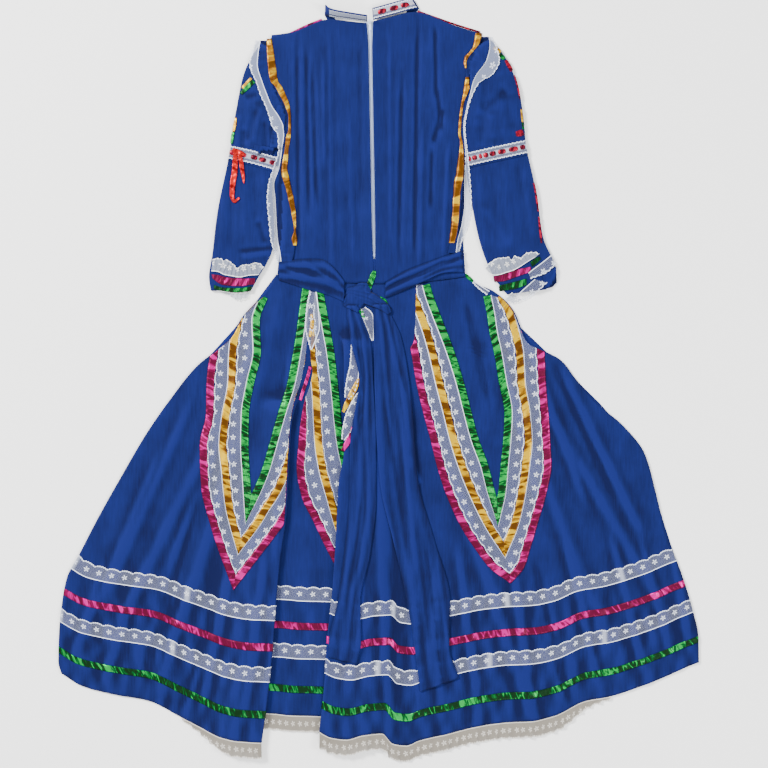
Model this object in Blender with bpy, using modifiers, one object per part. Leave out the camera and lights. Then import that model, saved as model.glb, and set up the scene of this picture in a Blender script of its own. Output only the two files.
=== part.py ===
"""Folklorico dress, laid flat on its front with the back side up.

The tables give places on the garment as a maker measures it, in millimetres: across from its
middle, to the right positive, and down from the top of the collar. Heights are above the surface
that it lies on. Each piece of cloth is a closed wall. What lies on another piece is laid down on
the faces of that piece, a small gap above them.
"""

import math
from collections import namedtuple

import bmesh
import bpy
import numpy as np
from mathutils import Vector
from mathutils.bvhtree import BVHTree

# Sizes that drive everything, in millimetres
MM = 0.001
MIDDLE_ACROSS = 1.0
MIDDLE_DOWN = 605.0
GAP = 0.3
CLOTH = 1.2
TRIM = 1.0
RIBBON_WIDTH = 12.0
BAND_WIDTH = 21.0
CEILING = 90.0
PROBES = 8
LAYING_PASSES = 30
EDGE_PASSES = 40
EDGE_EASING = 0.6
OVER_EDGES = 1.4

# Heights of the middle of the cloth where the skirt lies in one or three layers
LOW_LEVEL = 2.2
TURNED_LEVEL = 7.0
TOP_LEVEL = 10.0
FOLD_RUN_OUT = 70.0
FOLD_STEP = 1.4
FOLD_STANDS = 3.0
FOLD_TURNS = 8.0
FOLD_LEAST = 5.4
FOLD_POINTS = 10
BELOW_TURNED_LAYER = 5.3

# The cloth under a fold ends higher up: shares of its length where that is taken up
UNDER_SHORTENS_FROM = 0.4
UNDER_SHORTENS_OVER = 0.3

# The waist seam dips at the centre back
WAIST_SIDE = 434.0
WAIST_DIP = 17.0
WAIST_HALF = 170.0
SEAM = 0.6

# A fold's section where it begins, as an upright step: out from its edge, and share of its rise
Step = namedtuple("Step", "out up")
FOLD_STEP_SECTION = [
    Step(-1.5, 1.0), Step(-0.5, 0.95), Step(0.3, 0.85), Step(0.6, 0.74), Step(0.7, 0.62),
    Step(0.7, 0.5), Step(0.7, 0.36), Step(0.8, 0.21), Step(1.6, 0.06), Step(2.8, 0.0),
]

Side = namedtuple("Side", "down across")
Edge = namedtuple("Edge", "across down")
SoftFold = namedtuple("SoftFold", "across down low_across low_down width height")
VeeRow = namedtuple("VeeRow", "down green_left green_right gold_left gold_right pink_left pink_right")
WingRow = namedtuple("WingRow", "down ribbon_inner ribbon_outer cloth_edge lace_edge")
SleeveRow = namedtuple("SleeveRow", "outer outer_down inner inner_down rise")
SashRow = namedtuple("SashRow", "across top bottom")
TailRow = namedtuple("TailRow", "down left right")
CollarRow = namedtuple("CollarRow", "across down height lean_right lean_up stand")

SKIRT_LEFT = [
    Side(434, -162), Side(458, -170), Side(483, -198), Side(507, -219), Side(536, -235),
    Side(557, -258), Side(581, -288), Side(634, -331), Side(690, -370), Side(760, -411),
    Side(826, -448), Side(888, -480), Side(920, -497), Side(954, -504), Side(1013, -510),
    Side(1056, -511), Side(1074, -506),
]
SKIRT_RIGHT = [
    Side(434, 141), Side(451, 157), Side(461, 182), Side(498, 219), Side(520, 228),
    Side(547, 242), Side(559, 267), Side(571, 290), Side(602, 315), Side(642, 349),
    Side(675, 389), Side(722, 426), Side(784, 444), Side(846, 459), Side(914, 485),
    Side(976, 504), Side(1013, 512), Side(1056, 513),
]
FOLD_LEFT = [
    Side(453, -104), Side(500, -109), Side(560, -113), Side(610, -122), Side(637, -131),
    Side(685, -139), Side(733, -142), Side(821, -147), Side(893, -157), Side(960, -163),
    Side(1050, -170), Side(1130, -179), Side(1183, -186),
]
FOLD_RIGHT = [
    Side(453, -51), Side(541, -54), Side(720, -54), Side(768, -62), Side(859, -67),
    Side(957, -74), Side(1021, -81), Side(1085, -85), Side(1173, -94),
]
RIGHT_FOLD_LANDS = -60.0
FOLD_LEFT_DEPTH = [Side(625, 0), Side(680, 8), Side(725, 20), Side(820, 32), Side(1183, 45)]
FOLD_RIGHT_DEPTH = [Side(530, 0), Side(580, 8), Side(640, 28), Side(718, 42), Side(1173, 60)]

HEM_LEFT = [
    Edge(-506, 1074), Edge(-473, 1094), Edge(-419, 1108), Edge(-365, 1118), Edge(-320, 1141),
    Edge(-283, 1160), Edge(-254, 1174), Edge(-221, 1181), Edge(-186, 1183),
]
HEM_VALLEY = [Edge(-200, 1136), Edge(-166, 1138), Edge(-138, 1141), Edge(-96, 1142), Edge(-40, 1146)]
HEM_RIGHT = [
    Edge(-94, 1166), Edge(-74, 1175), Edge(-51, 1178), Edge(-22, 1171), Edge(6, 1169),
    Edge(24, 1186), Edge(45, 1189), Edge(66, 1181), Edge(109, 1171), Edge(162, 1158),
    Edge(206, 1152), Edge(245, 1150), Edge(283, 1141), Edge(331, 1118), Edge(374, 1110),
    Edge(411, 1098), Edge(453, 1082), Edge(493, 1064), Edge(513, 1056),
]

# The soft folds that show from a step away
SKIRT_FOLDS = [
    SoftFold(-150, 470, -330, 1040, 26, 2.4),
    SoftFold(-162, 480, -415, 1000, 24, 2.0),
    SoftFold(0, 700, 18, 1180, 18, 2.8),
    SoftFold(38, 610, 66, 1150, 22, 2.6),
    SoftFold(120, 760, 250, 1150, 26, 2.8),
    SoftFold(150, 470, 380, 1060, 26, 2.2),
    SoftFold(170, 480, 450, 960, 24, 2.0),
]
BODICE_FOLDS = [
    SoftFold(-122, 48, -118, 420, 13, 2.2),
    SoftFold(-98, 40, -100, 425, 12, 1.8),
    SoftFold(-60, 90, -64, 430, 16, 1.2),
    SoftFold(30, 60, 26, 425, 14, 2.0),
    SoftFold(56, 40, 50, 425, 12, 2.4),
    SoftFold(84, 36, 76, 425, 13, 2.2),
    SoftFold(112, 46, 100, 420, 12, 1.8),
]

BODICE_SIDE_LEFT = [
    Side(56, -170), Side(61, -173), Side(98, -171), Side(130, -170), Side(149, -160),
    Side(170, -150), Side(189, -146), Side(214, -146), Side(235, -150), Side(266, -155),
    Side(293, -152), Side(338, -150), Side(389, -154), Side(421, -158), Side(434, -161),
]
BODICE_SIDE_RIGHT = [
    Side(50, 163), Side(66, 163), Side(85, 150), Side(94, 143), Side(109, 144),
    Side(122, 149), Side(139, 144), Side(160, 141), Side(181, 134), Side(202, 133),
    Side(242, 136), Side(285, 136), Side(331, 130), Side(384, 123), Side(416, 132),
    Side(434, 140),
]
NECK_LEFT = [Edge(-170, 57), Edge(-138, 50), Edge(-109, 38), Edge(-80, 28), Edge(-45, 32), Edge(-14, 35)]
NECK_RIGHT = [Edge(-8, 32), Edge(30, 22), Edge(56, 16), Edge(66, 17), Edge(123, 39), Edge(163, 51)]
NECK_FRONT = [
    Edge(-150, 53), Edge(-112, 42), Edge(-94, 44), Edge(-66, 68), Edge(-40, 88), Edge(-10, 95),
    Edge(24, 84), Edge(50, 60), Edge(74, 34), Edge(96, 32), Edge(123, 40), Edge(163, 51),
]

# The zip's line, and how far each back edge stands off it
ZIP_TOP = Edge(-13, 34)
ZIP_END = Edge(-6, 416)
ZIP_OPEN = [Side(30, 6.0), Side(48, 3.4), Side(60, 2.8), Side(330, 2.6), Side(406, 2.3), Side(418, 0.5),
            Side(428, 0.2)]
TAPE_HALF = 9.0
COIL_HALF = 1.6
COIL_HEIGHT = 2.6
SLIDER_DOWN = 33.0
SLIDER_LENGTH = 10.0
SLIDER_WIDTH = 6.4
SLIDER_THICK = 1.8
PULL_LENGTH = 14.0
PULL_WIDTH = 3.6
PULL_THICK = 1.0
PULL_EYE = 0.5

WING_LEFT = [
    WingRow(62, -167, -178, -188, -196), WingRow(101, -163, -173, -192, -206),
    WingRow(130, -160, -171, -184, -195), WingRow(149, -149, -160, -177, -189),
    WingRow(166, -142, -150, -170, -181), WingRow(186, -139, -146, -157, -174),
    WingRow(200, -138, -145, -151, -170), WingRow(214, -139, -147, -150, -161),
    WingRow(235, -141, -150, -153, -160), WingRow(266, -144, -155, -158, -168),
    WingRow(293, -139, -149, -166, -176), WingRow(315, -136, -144, -160, -178),
    WingRow(352, -132, -138, -155, -173), WingRow(381, -128, -137, -152, -168),
    WingRow(402, -130, -137, -148, -160),
]
WING_RIGHT = [
    WingRow(56, 154, 165, 177, 183), WingRow(70, 151, 161, 178, 189),
    WingRow(94, 136, 145, 173, 195), WingRow(117, 139, 148, 157, 184),
    WingRow(130, 139, 148, 151, 163), WingRow(147, 136, 145, 147, 153),
    WingRow(170, 131, 139, 141, 145), WingRow(202, 127, 134, 136, 140),
    WingRow(242, 128, 137, 139, 144), WingRow(285, 123, 134, 138, 148),
    WingRow(322, 118, 130, 138, 150), WingRow(354, 113, 125, 134, 146),
    WingRow(386, 109, 119, 126, 134),
]

PUFF_LEFT = [
    SleeveRow(-188, 68, -178, 74, 0.6), SleeveRow(-206, 95, -173, 100, 1.6),
    SleeveRow(-218, 126, -171.6, 128, 2.4), SleeveRow(-222, 152, -161, 150, 2.8),
    SleeveRow(-228, 181, -151, 172, 2.8), SleeveRow(-232, 205, -147.4, 195, 2.2),
    SleeveRow(-236, 238, -152, 232, 0.9),
]
FOREARM_LEFT = [
    SleeveRow(-238, 246, -168, 262, 0.8), SleeveRow(-243, 272, -170, 286, 1.8),
    SleeveRow(-251, 307, -168, 318, 2.6), SleeveRow(-258, 344, -166, 352, 2.8),
    SleeveRow(-262, 381, -165, 386, 2.6), SleeveRow(-265, 411, -172, 409, 2.2),
    SleeveRow(-271, 434, -186, 432, 2.0), SleeveRow(-273, 450, -197, 450, 2.0),
    SleeveRow(-267, 462, -203, 462, 1.8),
]
PUFF_RIGHT = [
    SleeveRow(180, 62, 168, 68, 0.6), SleeveRow(200, 82, 156, 84, 1.4),
    SleeveRow(215, 111, 148, 108, 2.2), SleeveRow(223, 132, 150.4, 124, 2.6),
    SleeveRow(229, 162, 143, 158, 2.8), SleeveRow(233, 192, 135.4, 186, 2.4),
    SleeveRow(236, 229, 137.6, 244, 0.9),
]
FOREARM_RIGHT = [
    SleeveRow(237, 236, 139.6, 256, 0.8), SleeveRow(245, 268, 142, 280, 1.8),
    SleeveRow(254, 312, 148, 314, 2.6), SleeveRow(259, 345, 154, 346, 2.8),
    SleeveRow(262, 378, 160, 378, 2.6), SleeveRow(274, 402, 169, 404, 2.2),
    SleeveRow(286, 424, 178, 430, 2.0), SleeveRow(286, 442, 190, 450, 2.0),
    SleeveRow(270, 460, 206, 468, 1.8),
]
SLEEVE_COLUMNS = 11
SLEEVE_EDGE = 2.6
ARMHOLE_SEAM = 2.8
GATHERS = 6
GATHER_HEIGHT = 0.7

# Trims of the sleeves, as lines across them
BAND_LEFT = [Edge(-237, 241), Edge(-200, 249), Edge(-163, 259)]
BAND_RIGHT = [Edge(237, 232), Edge(190, 242), Edge(141, 253)]
CUFF_LACE_LEFT = [Edge(-265, 418), Edge(-224, 429), Edge(-182, 425)]
CUFF_PINK_LEFT = [Edge(-269, 436), Edge(-232, 443), Edge(-192, 440)]
CUFF_GREEN_LEFT = [Edge(-252, 455), Edge(-228, 457), Edge(-204, 454)]
CUFF_HEM_LEFT = [Edge(-256, 469), Edge(-232, 470), Edge(-208, 469)]
CUFF_LACE_RIGHT = [Edge(176, 428), Edge(208, 420), Edge(246, 410)]
CUFF_PINK_RIGHT = [Edge(184, 446), Edge(214, 440), Edge(246, 429)]
CUFF_GREEN_RIGHT = [Edge(199, 460), Edge(218, 455), Edge(242, 447)]
CUFF_HEM_RIGHT = [Edge(210, 475), Edge(238, 471), Edge(266, 467.5)]
BOW_LEFT_TAIL = [Edge(-231, 330), Edge(-232, 307), Edge(-230, 278), Edge(-228, 254)]
BOW_KNOT = Edge(-225, 240)
BOW_RIGHT_TAIL = [Edge(-214, 254), Edge(-215, 274), Edge(-217, 292)]
BOW_WIDTH = 7.0

# The V sets of the back skirt, each row the middle of its three ribbons on both legs
FIRST_VEE = [
    VeeRow(472, -182, -117, -214, -88, -246, -58), VeeRow(510, -195, -122, -223, -94, -252, -64),
    VeeRow(557, -193, -129, -232, -102, -261, -72), VeeRow(610, -204, -139, -234, -110, -268, -82),
    VeeRow(660, -212, -154, -243, -123, -269, -94), VeeRow(710, -213, -168, -248, -136, -279, -108),
    VeeRow(748, -211, -179, -244, -147, -278, -118), VeeRow(780, -209, -192, -241, -160, -276, -128),
    VeeRow(811, None, None, -237, -180, -269, -144), VeeRow(828, None, None, -233, -190, -264, -153),
    VeeRow(870, None, None, None, None, -251, -184),
]
FIRST_TIPS = (Edge(-207, 811), Edge(-221, 870), Edge(-229, 928))
SECOND_VEE = [
    VeeRow(470, -92, None, -112, None, -132, None), VeeRow(510, -85, None, -109, None, -130, None),
    VeeRow(560, -76, None, -106, None, -127, None), VeeRow(630, -68, None, -99, None, -122, None),
    VeeRow(672, -64, None, -97, None, -120, None), VeeRow(705, -60, None, -95, None, -121, None),
    VeeRow(745, -52, None, -89, None, -124, None), VeeRow(790, -42, None, -77, None, -116, None),
    VeeRow(830, None, None, -66, None, -97, None), VeeRow(862, None, None, -56, None, -82, None),
    VeeRow(905, None, None, None, None, -60, None),
]
FOURTH_VEE = [
    VeeRow(470, 82, 174, 56, 196, 30, 238), VeeRow(500, 93, 180, 68, 211, 42, 248),
    VeeRow(528, 104, 184, 78, 219, 52, 256), VeeRow(560, 116, 191, 87, 226, 59, 260),
    VeeRow(608, 131, 199, 98, 229, 67, 262), VeeRow(659, 144, 208, 111, 237, 79, 266),
    VeeRow(700, 155, 206, 121, 240, 90, 269), VeeRow(741, 170, 202, 134, 236, 100, 271),
    VeeRow(784, 181, 198, 151, 230, 114, 263), VeeRow(837, None, None, 177, 218, 138, 248),
    VeeRow(874, None, None, None, None, 162, 237), VeeRow(902, None, None, None, None, 184, 228),
]
FOURTH_TIPS = (Edge(191, 816), Edge(202, 876), Edge(211, 922))

# How far to the right of the left fold the second set shows, and where the sash hides the fourth
VALLEY_SHOWS = [Side(453, 4), Side(560, 5), Side(600, 14), Side(690, 14), Side(730, 4)]
FOURTH_SHOWS = [Side(460, 74), Side(500, 62), Side(540, 58), Side(560, 48)]
VEE_STATIONS = 9
LACE_CLEAR = 0.9

# Rows of trim round the skirt: how far up from the hem each begins and ends
SKIRT_LENGTH = 730.0
RowTrim = namedtuple("RowTrim", "name lower upper")
ROW_TRIMS = [
    RowTrim("row_lace_upper", 192, 217), RowTrim("row_ribbon_pink", 144, 156),
    RowTrim("row_lace_lower", 95, 120), RowTrim("row_ribbon_green", 38, 50),
]
FRONT_SHORTER = 14.0
HEM_LACE_DROP = 26.0
HEM_LACE_LEAST = 5.0
HEM_LACE_FADE = 90.0
HEM_LACE_FROM = -316.0
HEM_LACE_TO = 374.0
HEM_WAVE = 20.0
HEM_WAVE_HEIGHT = 0.8
HEM_WAVE_POINTS = 3

SASH_TIE_LEFT = [
    SashRow(-158, 416, 446), SashRow(-135, 413, 453), SashRow(-110, 411, 461), SashRow(-90, 412, 466),
    SashRow(-72, 424, 472), SashRow(-54, 446, 480),
]
SASH_TIE_RIGHT = [
    SashRow(12, 449, 474), SashRow(40, 432, 463), SashRow(70, 420, 449), SashRow(110, 406, 433),
    SashRow(136, 398, 433),
]
SASH_TAIL_LEFT = [
    TailRow(500, -44, -14), TailRow(541, -44, -13), TailRow(605, -30, -8), TailRow(702, -44, -3),
    TailRow(797, -46, -3), TailRow(880, -54, -12), TailRow(957, -64, -28), TailRow(1021, -78, -27),
    TailRow(1052, -80, -34),
]
SASH_TAIL_RIGHT = [
    TailRow(498, -8, 20), TailRow(536, -7, 37), TailRow(634, -5, 53), TailRow(765, 3, 64),
    TailRow(860, 24, 90), TailRow(957, 46, 115), TailRow(1029, 58, 114), TailRow(1092, 68, 129),
]
TAIL_END_SLANT = 22.0
KNOT_MIDDLE = Edge(-21, 471)
KNOT_HALF_ACROSS = 32.0
KNOT_HALF_DOWN = 21.0
KNOT_HEIGHT = 15.0

COLLAR_WIDTH = 19.0
COLLAR_STATIONS = 44
COLLAR_TRIM_ROWS = 8
COLLAR_TRIM_INSET = 0.12
COLLAR_BACK_LEFT = [
    CollarRow(-17, 33, 5.6, 0.0, 7.0, 17.0), CollarRow(-48, 29, 6.0, 0.0, 8.0, 17.0),
    CollarRow(-76, 24.5, 5.6, 0.0, 9.0, 16.0),
]
COLLAR_SIDE_LEFT = [
    CollarRow(-85, 22, 3.2, 0.0, 12.0, 10.0), CollarRow(-83, 25, 0.8, 1.0, 17.0, 0.0),
]
COLLAR_FRONT = [
    CollarRow(-66, 58, 0.6, 6.0, 18.0, 0.0), CollarRow(-40, 78, 0.6, 3.0, 18.5, 0.0),
    CollarRow(-10, 86, 0.6, 0.0, 19.0, 0.0), CollarRow(24, 74, 0.6, -3.0, 18.5, 0.0),
    CollarRow(48, 50, 0.6, -6.0, 18.0, 0.0),
]
COLLAR_SIDE_RIGHT = [
    CollarRow(62, 14, 0.8, -8.0, 13.0, 0.0), CollarRow(66, 11, 3.2, -8.0, 13.0, 1.0),
]
COLLAR_BACK_RIGHT = [
    CollarRow(59, 12, 5.8, -9.0, 14.0, 1.0), CollarRow(30, 20, 6.0, -4.0, 15.5, 1.0),
    CollarRow(-8, 30, 5.6, -1.0, 16.5, 1.0),
]

# Colours, with roughness and metallic value
Finish = namedtuple("Finish", "red green blue roughness")
FINISHES = {
    "blue_cloth": Finish(0.014, 0.058, 0.27, 0.85),
    "white_lace": Finish(0.70, 0.74, 0.80, 0.9),
    "green_satin": Finish(0.0, 0.30, 0.06, 0.25),
    "gold_satin": Finish(0.75, 0.42, 0.02, 0.25),
    "pink_satin": Finish(0.62, 0.01, 0.20, 0.25),
    "red_satin": Finish(0.70, 0.03, 0.03, 0.25),
    "white_nylon": Finish(0.80, 0.82, 0.85, 0.45),
}

# Every solid made so far, by name: its points and its triangles
MADE = {}


def smooth_through(keys, values):
    """A smooth line through the rows of a table that never overshoots them, level past its ends."""
    keys = np.asarray(keys, float)
    values = np.asarray(values, float)
    step = np.diff(keys)
    slope = np.diff(values) / step
    tangent = np.zeros_like(values)
    tangent[0], tangent[-1] = slope[0], slope[-1]
    for k in range(1, len(keys) - 1):
        if slope[k - 1] * slope[k] > 0:
            before = 2 * step[k] + step[k - 1]
            after = step[k] + 2 * step[k - 1]
            tangent[k] = (before + after) / (before / slope[k - 1] + after / slope[k])

    def value(at):
        at = np.clip(at, keys[0], keys[-1])
        k = np.clip(np.searchsorted(keys, at, side="right") - 1, 0, len(step) - 1)
        t = (at - keys[k]) / step[k]
        return ((1 + 2 * t) * (1 - t) ** 2 * values[k] + t * (1 - t) ** 2 * step[k] * tangent[k]
                + t * t * (3 - 2 * t) * values[k + 1] + t * t * (t - 1) * step[k] * tangent[k + 1])

    return value


def side_line(table):
    """How far across a side is at each distance down."""
    return smooth_through([row.down for row in table], [row.across for row in table])


def edge_line(table):
    """How far down an edge is at each distance across."""
    rows = sorted(table, key=lambda row: row.across)
    return smooth_through([row.across for row in rows], [row.down for row in rows])


def ease(t):
    """A soft step from 0 to 1."""
    t = np.clip(t, 0.0, 1.0)
    return t * t * (3 - 2 * t)


def blend(a, b, t):
    return a + (b - a) * t


def line_through(points, count):
    """Evenly spaced points on a smooth curve through the given ones."""
    points = np.asarray(points, float)
    run = np.concatenate([[0.0], np.cumsum(np.linalg.norm(np.diff(points, axis=0), axis=1))])
    at = np.linspace(0.0, run[-1], count)
    return np.stack([smooth_through(run, points[:, k])(at) for k in range(points.shape[1])], axis=1)


def waist(across):
    """The waist seam's place down the dress."""
    return WAIST_SIDE + WAIST_DIP * (1 - np.clip(np.abs(across) / WAIST_HALF, 0, 1) ** 2)


def soft_folds(table, across, down):
    """Height that the soft folds add at one place."""
    height = 0.0
    for fold in table:
        along = (down - fold.down) / (fold.low_down - fold.down)
        centre = blend(fold.across, fold.low_across, along)
        fade = ease((along + 0.08) / 0.2) * ease((1.1 - along) / 0.2)
        height += fold.height * fade * math.exp(-((across - centre) / (0.5 * fold.width)) ** 2)
    return height


def add_solid(name, finish, points, triangles, collection):
    """Make one closed solid from points in millimetres and keep it for what lies on it."""
    MADE[name] = (np.asarray(points, float), triangles)
    mesh = bpy.data.meshes.new(name)
    mesh.from_pydata([((x - MIDDLE_ACROSS) * MM, (MIDDLE_DOWN - y) * MM, z * MM) for x, y, z in points],
                     [], triangles)
    working = bmesh.new()
    working.from_mesh(mesh)
    bmesh.ops.recalc_face_normals(working, faces=working.faces)
    working.to_mesh(mesh)
    working.free()
    mesh.materials.append(material(finish))
    mesh.shade_smooth()
    mesh.set_sharp_from_angle(angle=math.radians(40))
    piece = bpy.data.objects.new(name, mesh)
    collection.objects.link(piece)
    return piece


def material(finish):
    """The material of one cloth or trim."""
    found = bpy.data.materials.get(finish)
    if found:
        return found
    made = bpy.data.materials.new(finish)
    made.use_nodes = True
    shader = made.node_tree.nodes["Principled BSDF"]
    colour = FINISHES[finish]
    shader.inputs["Base Color"].default_value = (colour.red, colour.green, colour.blue, 1.0)
    shader.inputs["Roughness"].default_value = colour.roughness
    shader.inputs["Metallic"].default_value = 0.0
    made.diffuse_color = (colour.red, colour.green, colour.blue, 1.0)
    return made


def shell(name, finish, low, high, collection, closed=False):
    """A closed wall between two grids of points; closed joins its last column to its first."""
    rows, columns = low.shape[:2]
    points = [tuple(p) for p in low.reshape(-1, 3)] + [tuple(p) for p in high.reshape(-1, 3)]
    start = rows * columns
    triangles = []
    for i in range(rows - 1):
        for j in range(columns if closed else columns - 1):
            a, b = i * columns + j, (i + 1) * columns + j
            c, d = (i + 1) * columns + (j + 1) % columns, i * columns + (j + 1) % columns
            triangles += [(a, c, b), (a, d, c)]
            triangles += [(start + a, start + b, start + c), (start + a, start + c, start + d)]
    for j in range(columns if closed else columns - 1):
        for row in (0, rows - 1):
            a, b = row * columns + j, row * columns + (j + 1) % columns
            pair = [(a, b, start + b), (a, start + b, start + a)]
            triangles += pair if row else [t[::-1] for t in pair]
    if not closed:
        for i in range(rows - 1):
            for column in (0, columns - 1):
                a, b = i * columns + column, (i + 1) * columns + column
                pair = [(a, b, start + b), (a, start + b, start + a)]
                triangles += [t[::-1] for t in pair] if column else pair
    return add_solid(name, finish, points, triangles, collection)


def sheet(name, finish, grid, under, thick, collection):
    """A sheet of even thickness whose underside has the given heights."""
    low = np.dstack([grid, under])
    high = np.dstack([grid, under + thick])
    return shell(name, finish, low, high, collection)


def section_normals(middle, along):
    """Upward normals of each row's section, which lies in the upright plane through along."""
    tangent = np.gradient(middle, axis=1)
    run = tangent[..., 0] * along[..., 0] + tangent[..., 1] * along[..., 1]
    rise = tangent[..., 2]
    length = np.maximum(np.hypot(run, rise), 1e-9)
    return np.stack([-rise * along[..., 0], -rise * along[..., 1], run], axis=-1) / length[..., None]


def top_of(names):
    """A tree of the faces that something is laid on."""
    points, triangles = [], []
    for name in names:
        made_points, made_triangles = MADE[name]
        triangles += [tuple(len(points) + k for k in t) for t in made_triangles]
        points += [Vector(p) for p in made_points]
    return BVHTree.FromPolygons(points, triangles)


def lay_on(names, grid, ceiling=CEILING, floor=0.0, gap=GAP, spread=0.0):
    """Heights of a sheet's underside, laid on the named solids without cutting into them.

    A spread looks that far about each place, for a sheet that goes over the edges of others.
    """
    tree = top_of(names)
    rows, columns = grid.shape[:2]
    looks = [(0, 0)] + ([(spread, 0), (-spread, 0), (0, spread), (0, -spread)] if spread else [])

    def rest(place):
        heights = [floor]
        for across, down in looks:
            start = Vector((place[0] + across, place[1] + down, ceiling))
            hit = tree.ray_cast(start, Vector((0, 0, -1)))[0]
            heights.append(hit.z if hit else floor)
        return max(heights) + gap

    under = np.array([[rest(grid[i, j]) for j in range(columns)] for i in range(rows)])
    shares = [(p / PROBES, q / PROBES) for p in range(PROBES + 1) for q in range(PROBES + 1)]
    probes = []
    for i in range(rows - 1):
        for j in range(columns - 1):
            for p, q in shares:
                if p >= q:
                    weights = ((i, j, 1 - p), (i + 1, j, p - q), (i + 1, j + 1, q))
                else:
                    weights = ((i, j, 1 - q), (i, j + 1, q - p), (i + 1, j + 1, p))
                weights = [w for w in weights if w[2] > 0]
                probes.append((weights, rest(sum(grid[a, b] * w for a, b, w in weights))))
    for _ in range(LAYING_PASSES):
        worst = 0.0
        for weights, need in probes:
            short = need - sum(under[a, b] * w for a, b, w in weights)
            if short > 1e-4:
                share = short / sum(w * w for _, _, w in weights)
                for a, b, w in weights:
                    under[a, b] += share * w
                worst = max(worst, short)
        if worst < 0.01:
            break
    return under


def fan_grid(left, right, top, bottom, across_shares, down_shares):
    """Places of a panel between two sides (by distance down) and two edges (by distance across)."""
    grid = np.zeros((len(down_shares), len(across_shares), 2))
    for i, v in enumerate(down_shares):
        for j, a in enumerate(across_shares):
            down = blend(WAIST_SIDE, WAIST_SIDE + SKIRT_LENGTH, v)
            for _ in range(EDGE_PASSES):
                across = blend(left(down), right(down), a)
                down = blend(down, blend(top(across), bottom(across), v), EDGE_EASING)
            grid[i, j] = (blend(left(down), right(down), a), down)
    return grid


# The skirt

LEFT_SIDE, RIGHT_SIDE = side_line(SKIRT_LEFT), side_line(SKIRT_RIGHT)
LEFT_FOLD, RIGHT_FOLD = side_line(FOLD_LEFT), side_line(FOLD_RIGHT)
LEFT_DEPTH, RIGHT_DEPTH = side_line(FOLD_LEFT_DEPTH), side_line(FOLD_RIGHT_DEPTH)
LEFT_HEM, VALLEY_HEM, RIGHT_HEM = edge_line(HEM_LEFT), edge_line(HEM_VALLEY), edge_line(HEM_RIGHT)
UPPER_TURN = 0.5 * (TOP_LEVEL - TURNED_LEVEL)
LOWER_TURN = 0.5 * (TURNED_LEVEL - LOW_LEVEL)
SKIRT_COLUMNS = ([("left", a) for a in np.linspace(0, 1, 8)[:-1]]
                 + [("left fold", k) for k in range(FOLD_POINTS)]
                 + [("valley", a) for a in np.linspace(0, 1, 5)[1:-1]]
                 + [("right fold", k) for k in reversed(range(FOLD_POINTS))]
                 + [("right", a) for a in np.linspace(0, 1, 14)[1:]])


def fold_point(k, depth):
    """Point k of a fold's section: out from its edge, and up. Point 0 is on the upper layer.

    The section goes from flat cloth to an upright step and then to two turns, one on the other.
    """
    stands = ease(depth / FOLD_STANDS)
    turned = ease((depth - FOLD_STANDS) / (FOLD_TURNS - FOLD_STANDS))
    deep = max(depth, FOLD_LEAST)
    half = FOLD_POINTS // 2
    if k < half:
        turn = math.radians(90 - 180 * k / (half - 1))
        out = UPPER_TURN * (math.cos(turn) - 1)
        up = 0.5 * (TOP_LEVEL + TURNED_LEVEL) + UPPER_TURN * math.sin(turn)
    else:
        turn = math.radians(90 + 180 * (k - half) / (half - 1))
        out = LOWER_TURN * (math.cos(turn) + 1) - deep
        up = 0.5 * (TURNED_LEVEL + LOW_LEVEL) + LOWER_TURN * math.sin(turn)
    step = FOLD_STEP_SECTION[k]
    step_up = blend(LOW_LEVEL, TOP_LEVEL, step.up)
    flat_out = FOLD_STEP * k - UPPER_TURN
    return (blend(blend(flat_out, step.out, stands), out, turned),
            blend(blend(LOW_LEVEL, step_up, stands), up, turned))


def upper_layer(out, depth):
    """Height of the upper layer at a distance back from its folded edge."""
    rise = ease(depth / FOLD_STANDS) * (TOP_LEVEL - LOW_LEVEL)
    return LOW_LEVEL + rise * ease((out + depth) / FOLD_RUN_OUT + 1)


def skirt_point(column, down):
    """Where a column of the back skirt lies at a distance down: across, and up."""
    part, place = column
    left_edge, right_edge = LEFT_FOLD(down), RIGHT_FOLD(down)
    left_deep, right_deep = LEFT_DEPTH(down), RIGHT_DEPTH(down)
    if part == "left fold":
        out, up = fold_point(place, left_deep)
        return left_edge + out, up
    if part == "right fold":
        out, up = fold_point(place, right_deep)
        return right_edge - out, up
    if part == "valley":
        first = left_edge + fold_point(FOLD_POINTS - 1, left_deep)[0]
        last = right_edge - fold_point(FOLD_POINTS - 1, right_deep)[0]
        return blend(first, last, place), LOW_LEVEL
    if part == "left":
        inner = left_edge + fold_point(0, left_deep)[0]
        across = blend(LEFT_SIDE(down), inner, place)
        up = upper_layer(across - left_edge, left_deep)
    else:
        inner = right_edge - fold_point(0, right_deep)[0]
        across = blend(inner, RIGHT_SIDE(down), place)
        up = upper_layer(right_edge - across, right_deep)
    return across, up + soft_folds(SKIRT_FOLDS, across, down)


def skirt_hem(column):
    """How far down a column of the back skirt ends."""
    part, place = column
    if part == "left fold":
        foot = FOLD_LEFT[-1].across
        return LEFT_HEM(foot) if place < FOLD_POINTS // 2 else VALLEY_HEM(foot)
    if part == "right fold":
        foot = FOLD_RIGHT[-1].across
        return RIGHT_HEM(foot) if place < FOLD_POINTS // 2 else VALLEY_HEM(RIGHT_FOLD_LANDS)
    line = {"left": LEFT_HEM, "valley": VALLEY_HEM, "right": RIGHT_HEM}[part]
    down = WAIST_SIDE + SKIRT_LENGTH
    for _ in range(EDGE_PASSES):
        down = blend(down, line(skirt_point(column, down)[0]), EDGE_EASING)
    return down


def skirt_waist(column):
    """How far down a column of the back skirt begins."""
    down = WAIST_SIDE
    for _ in range(EDGE_PASSES):
        down = waist(skirt_point(column, down)[0]) + SEAM
    return down


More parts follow.
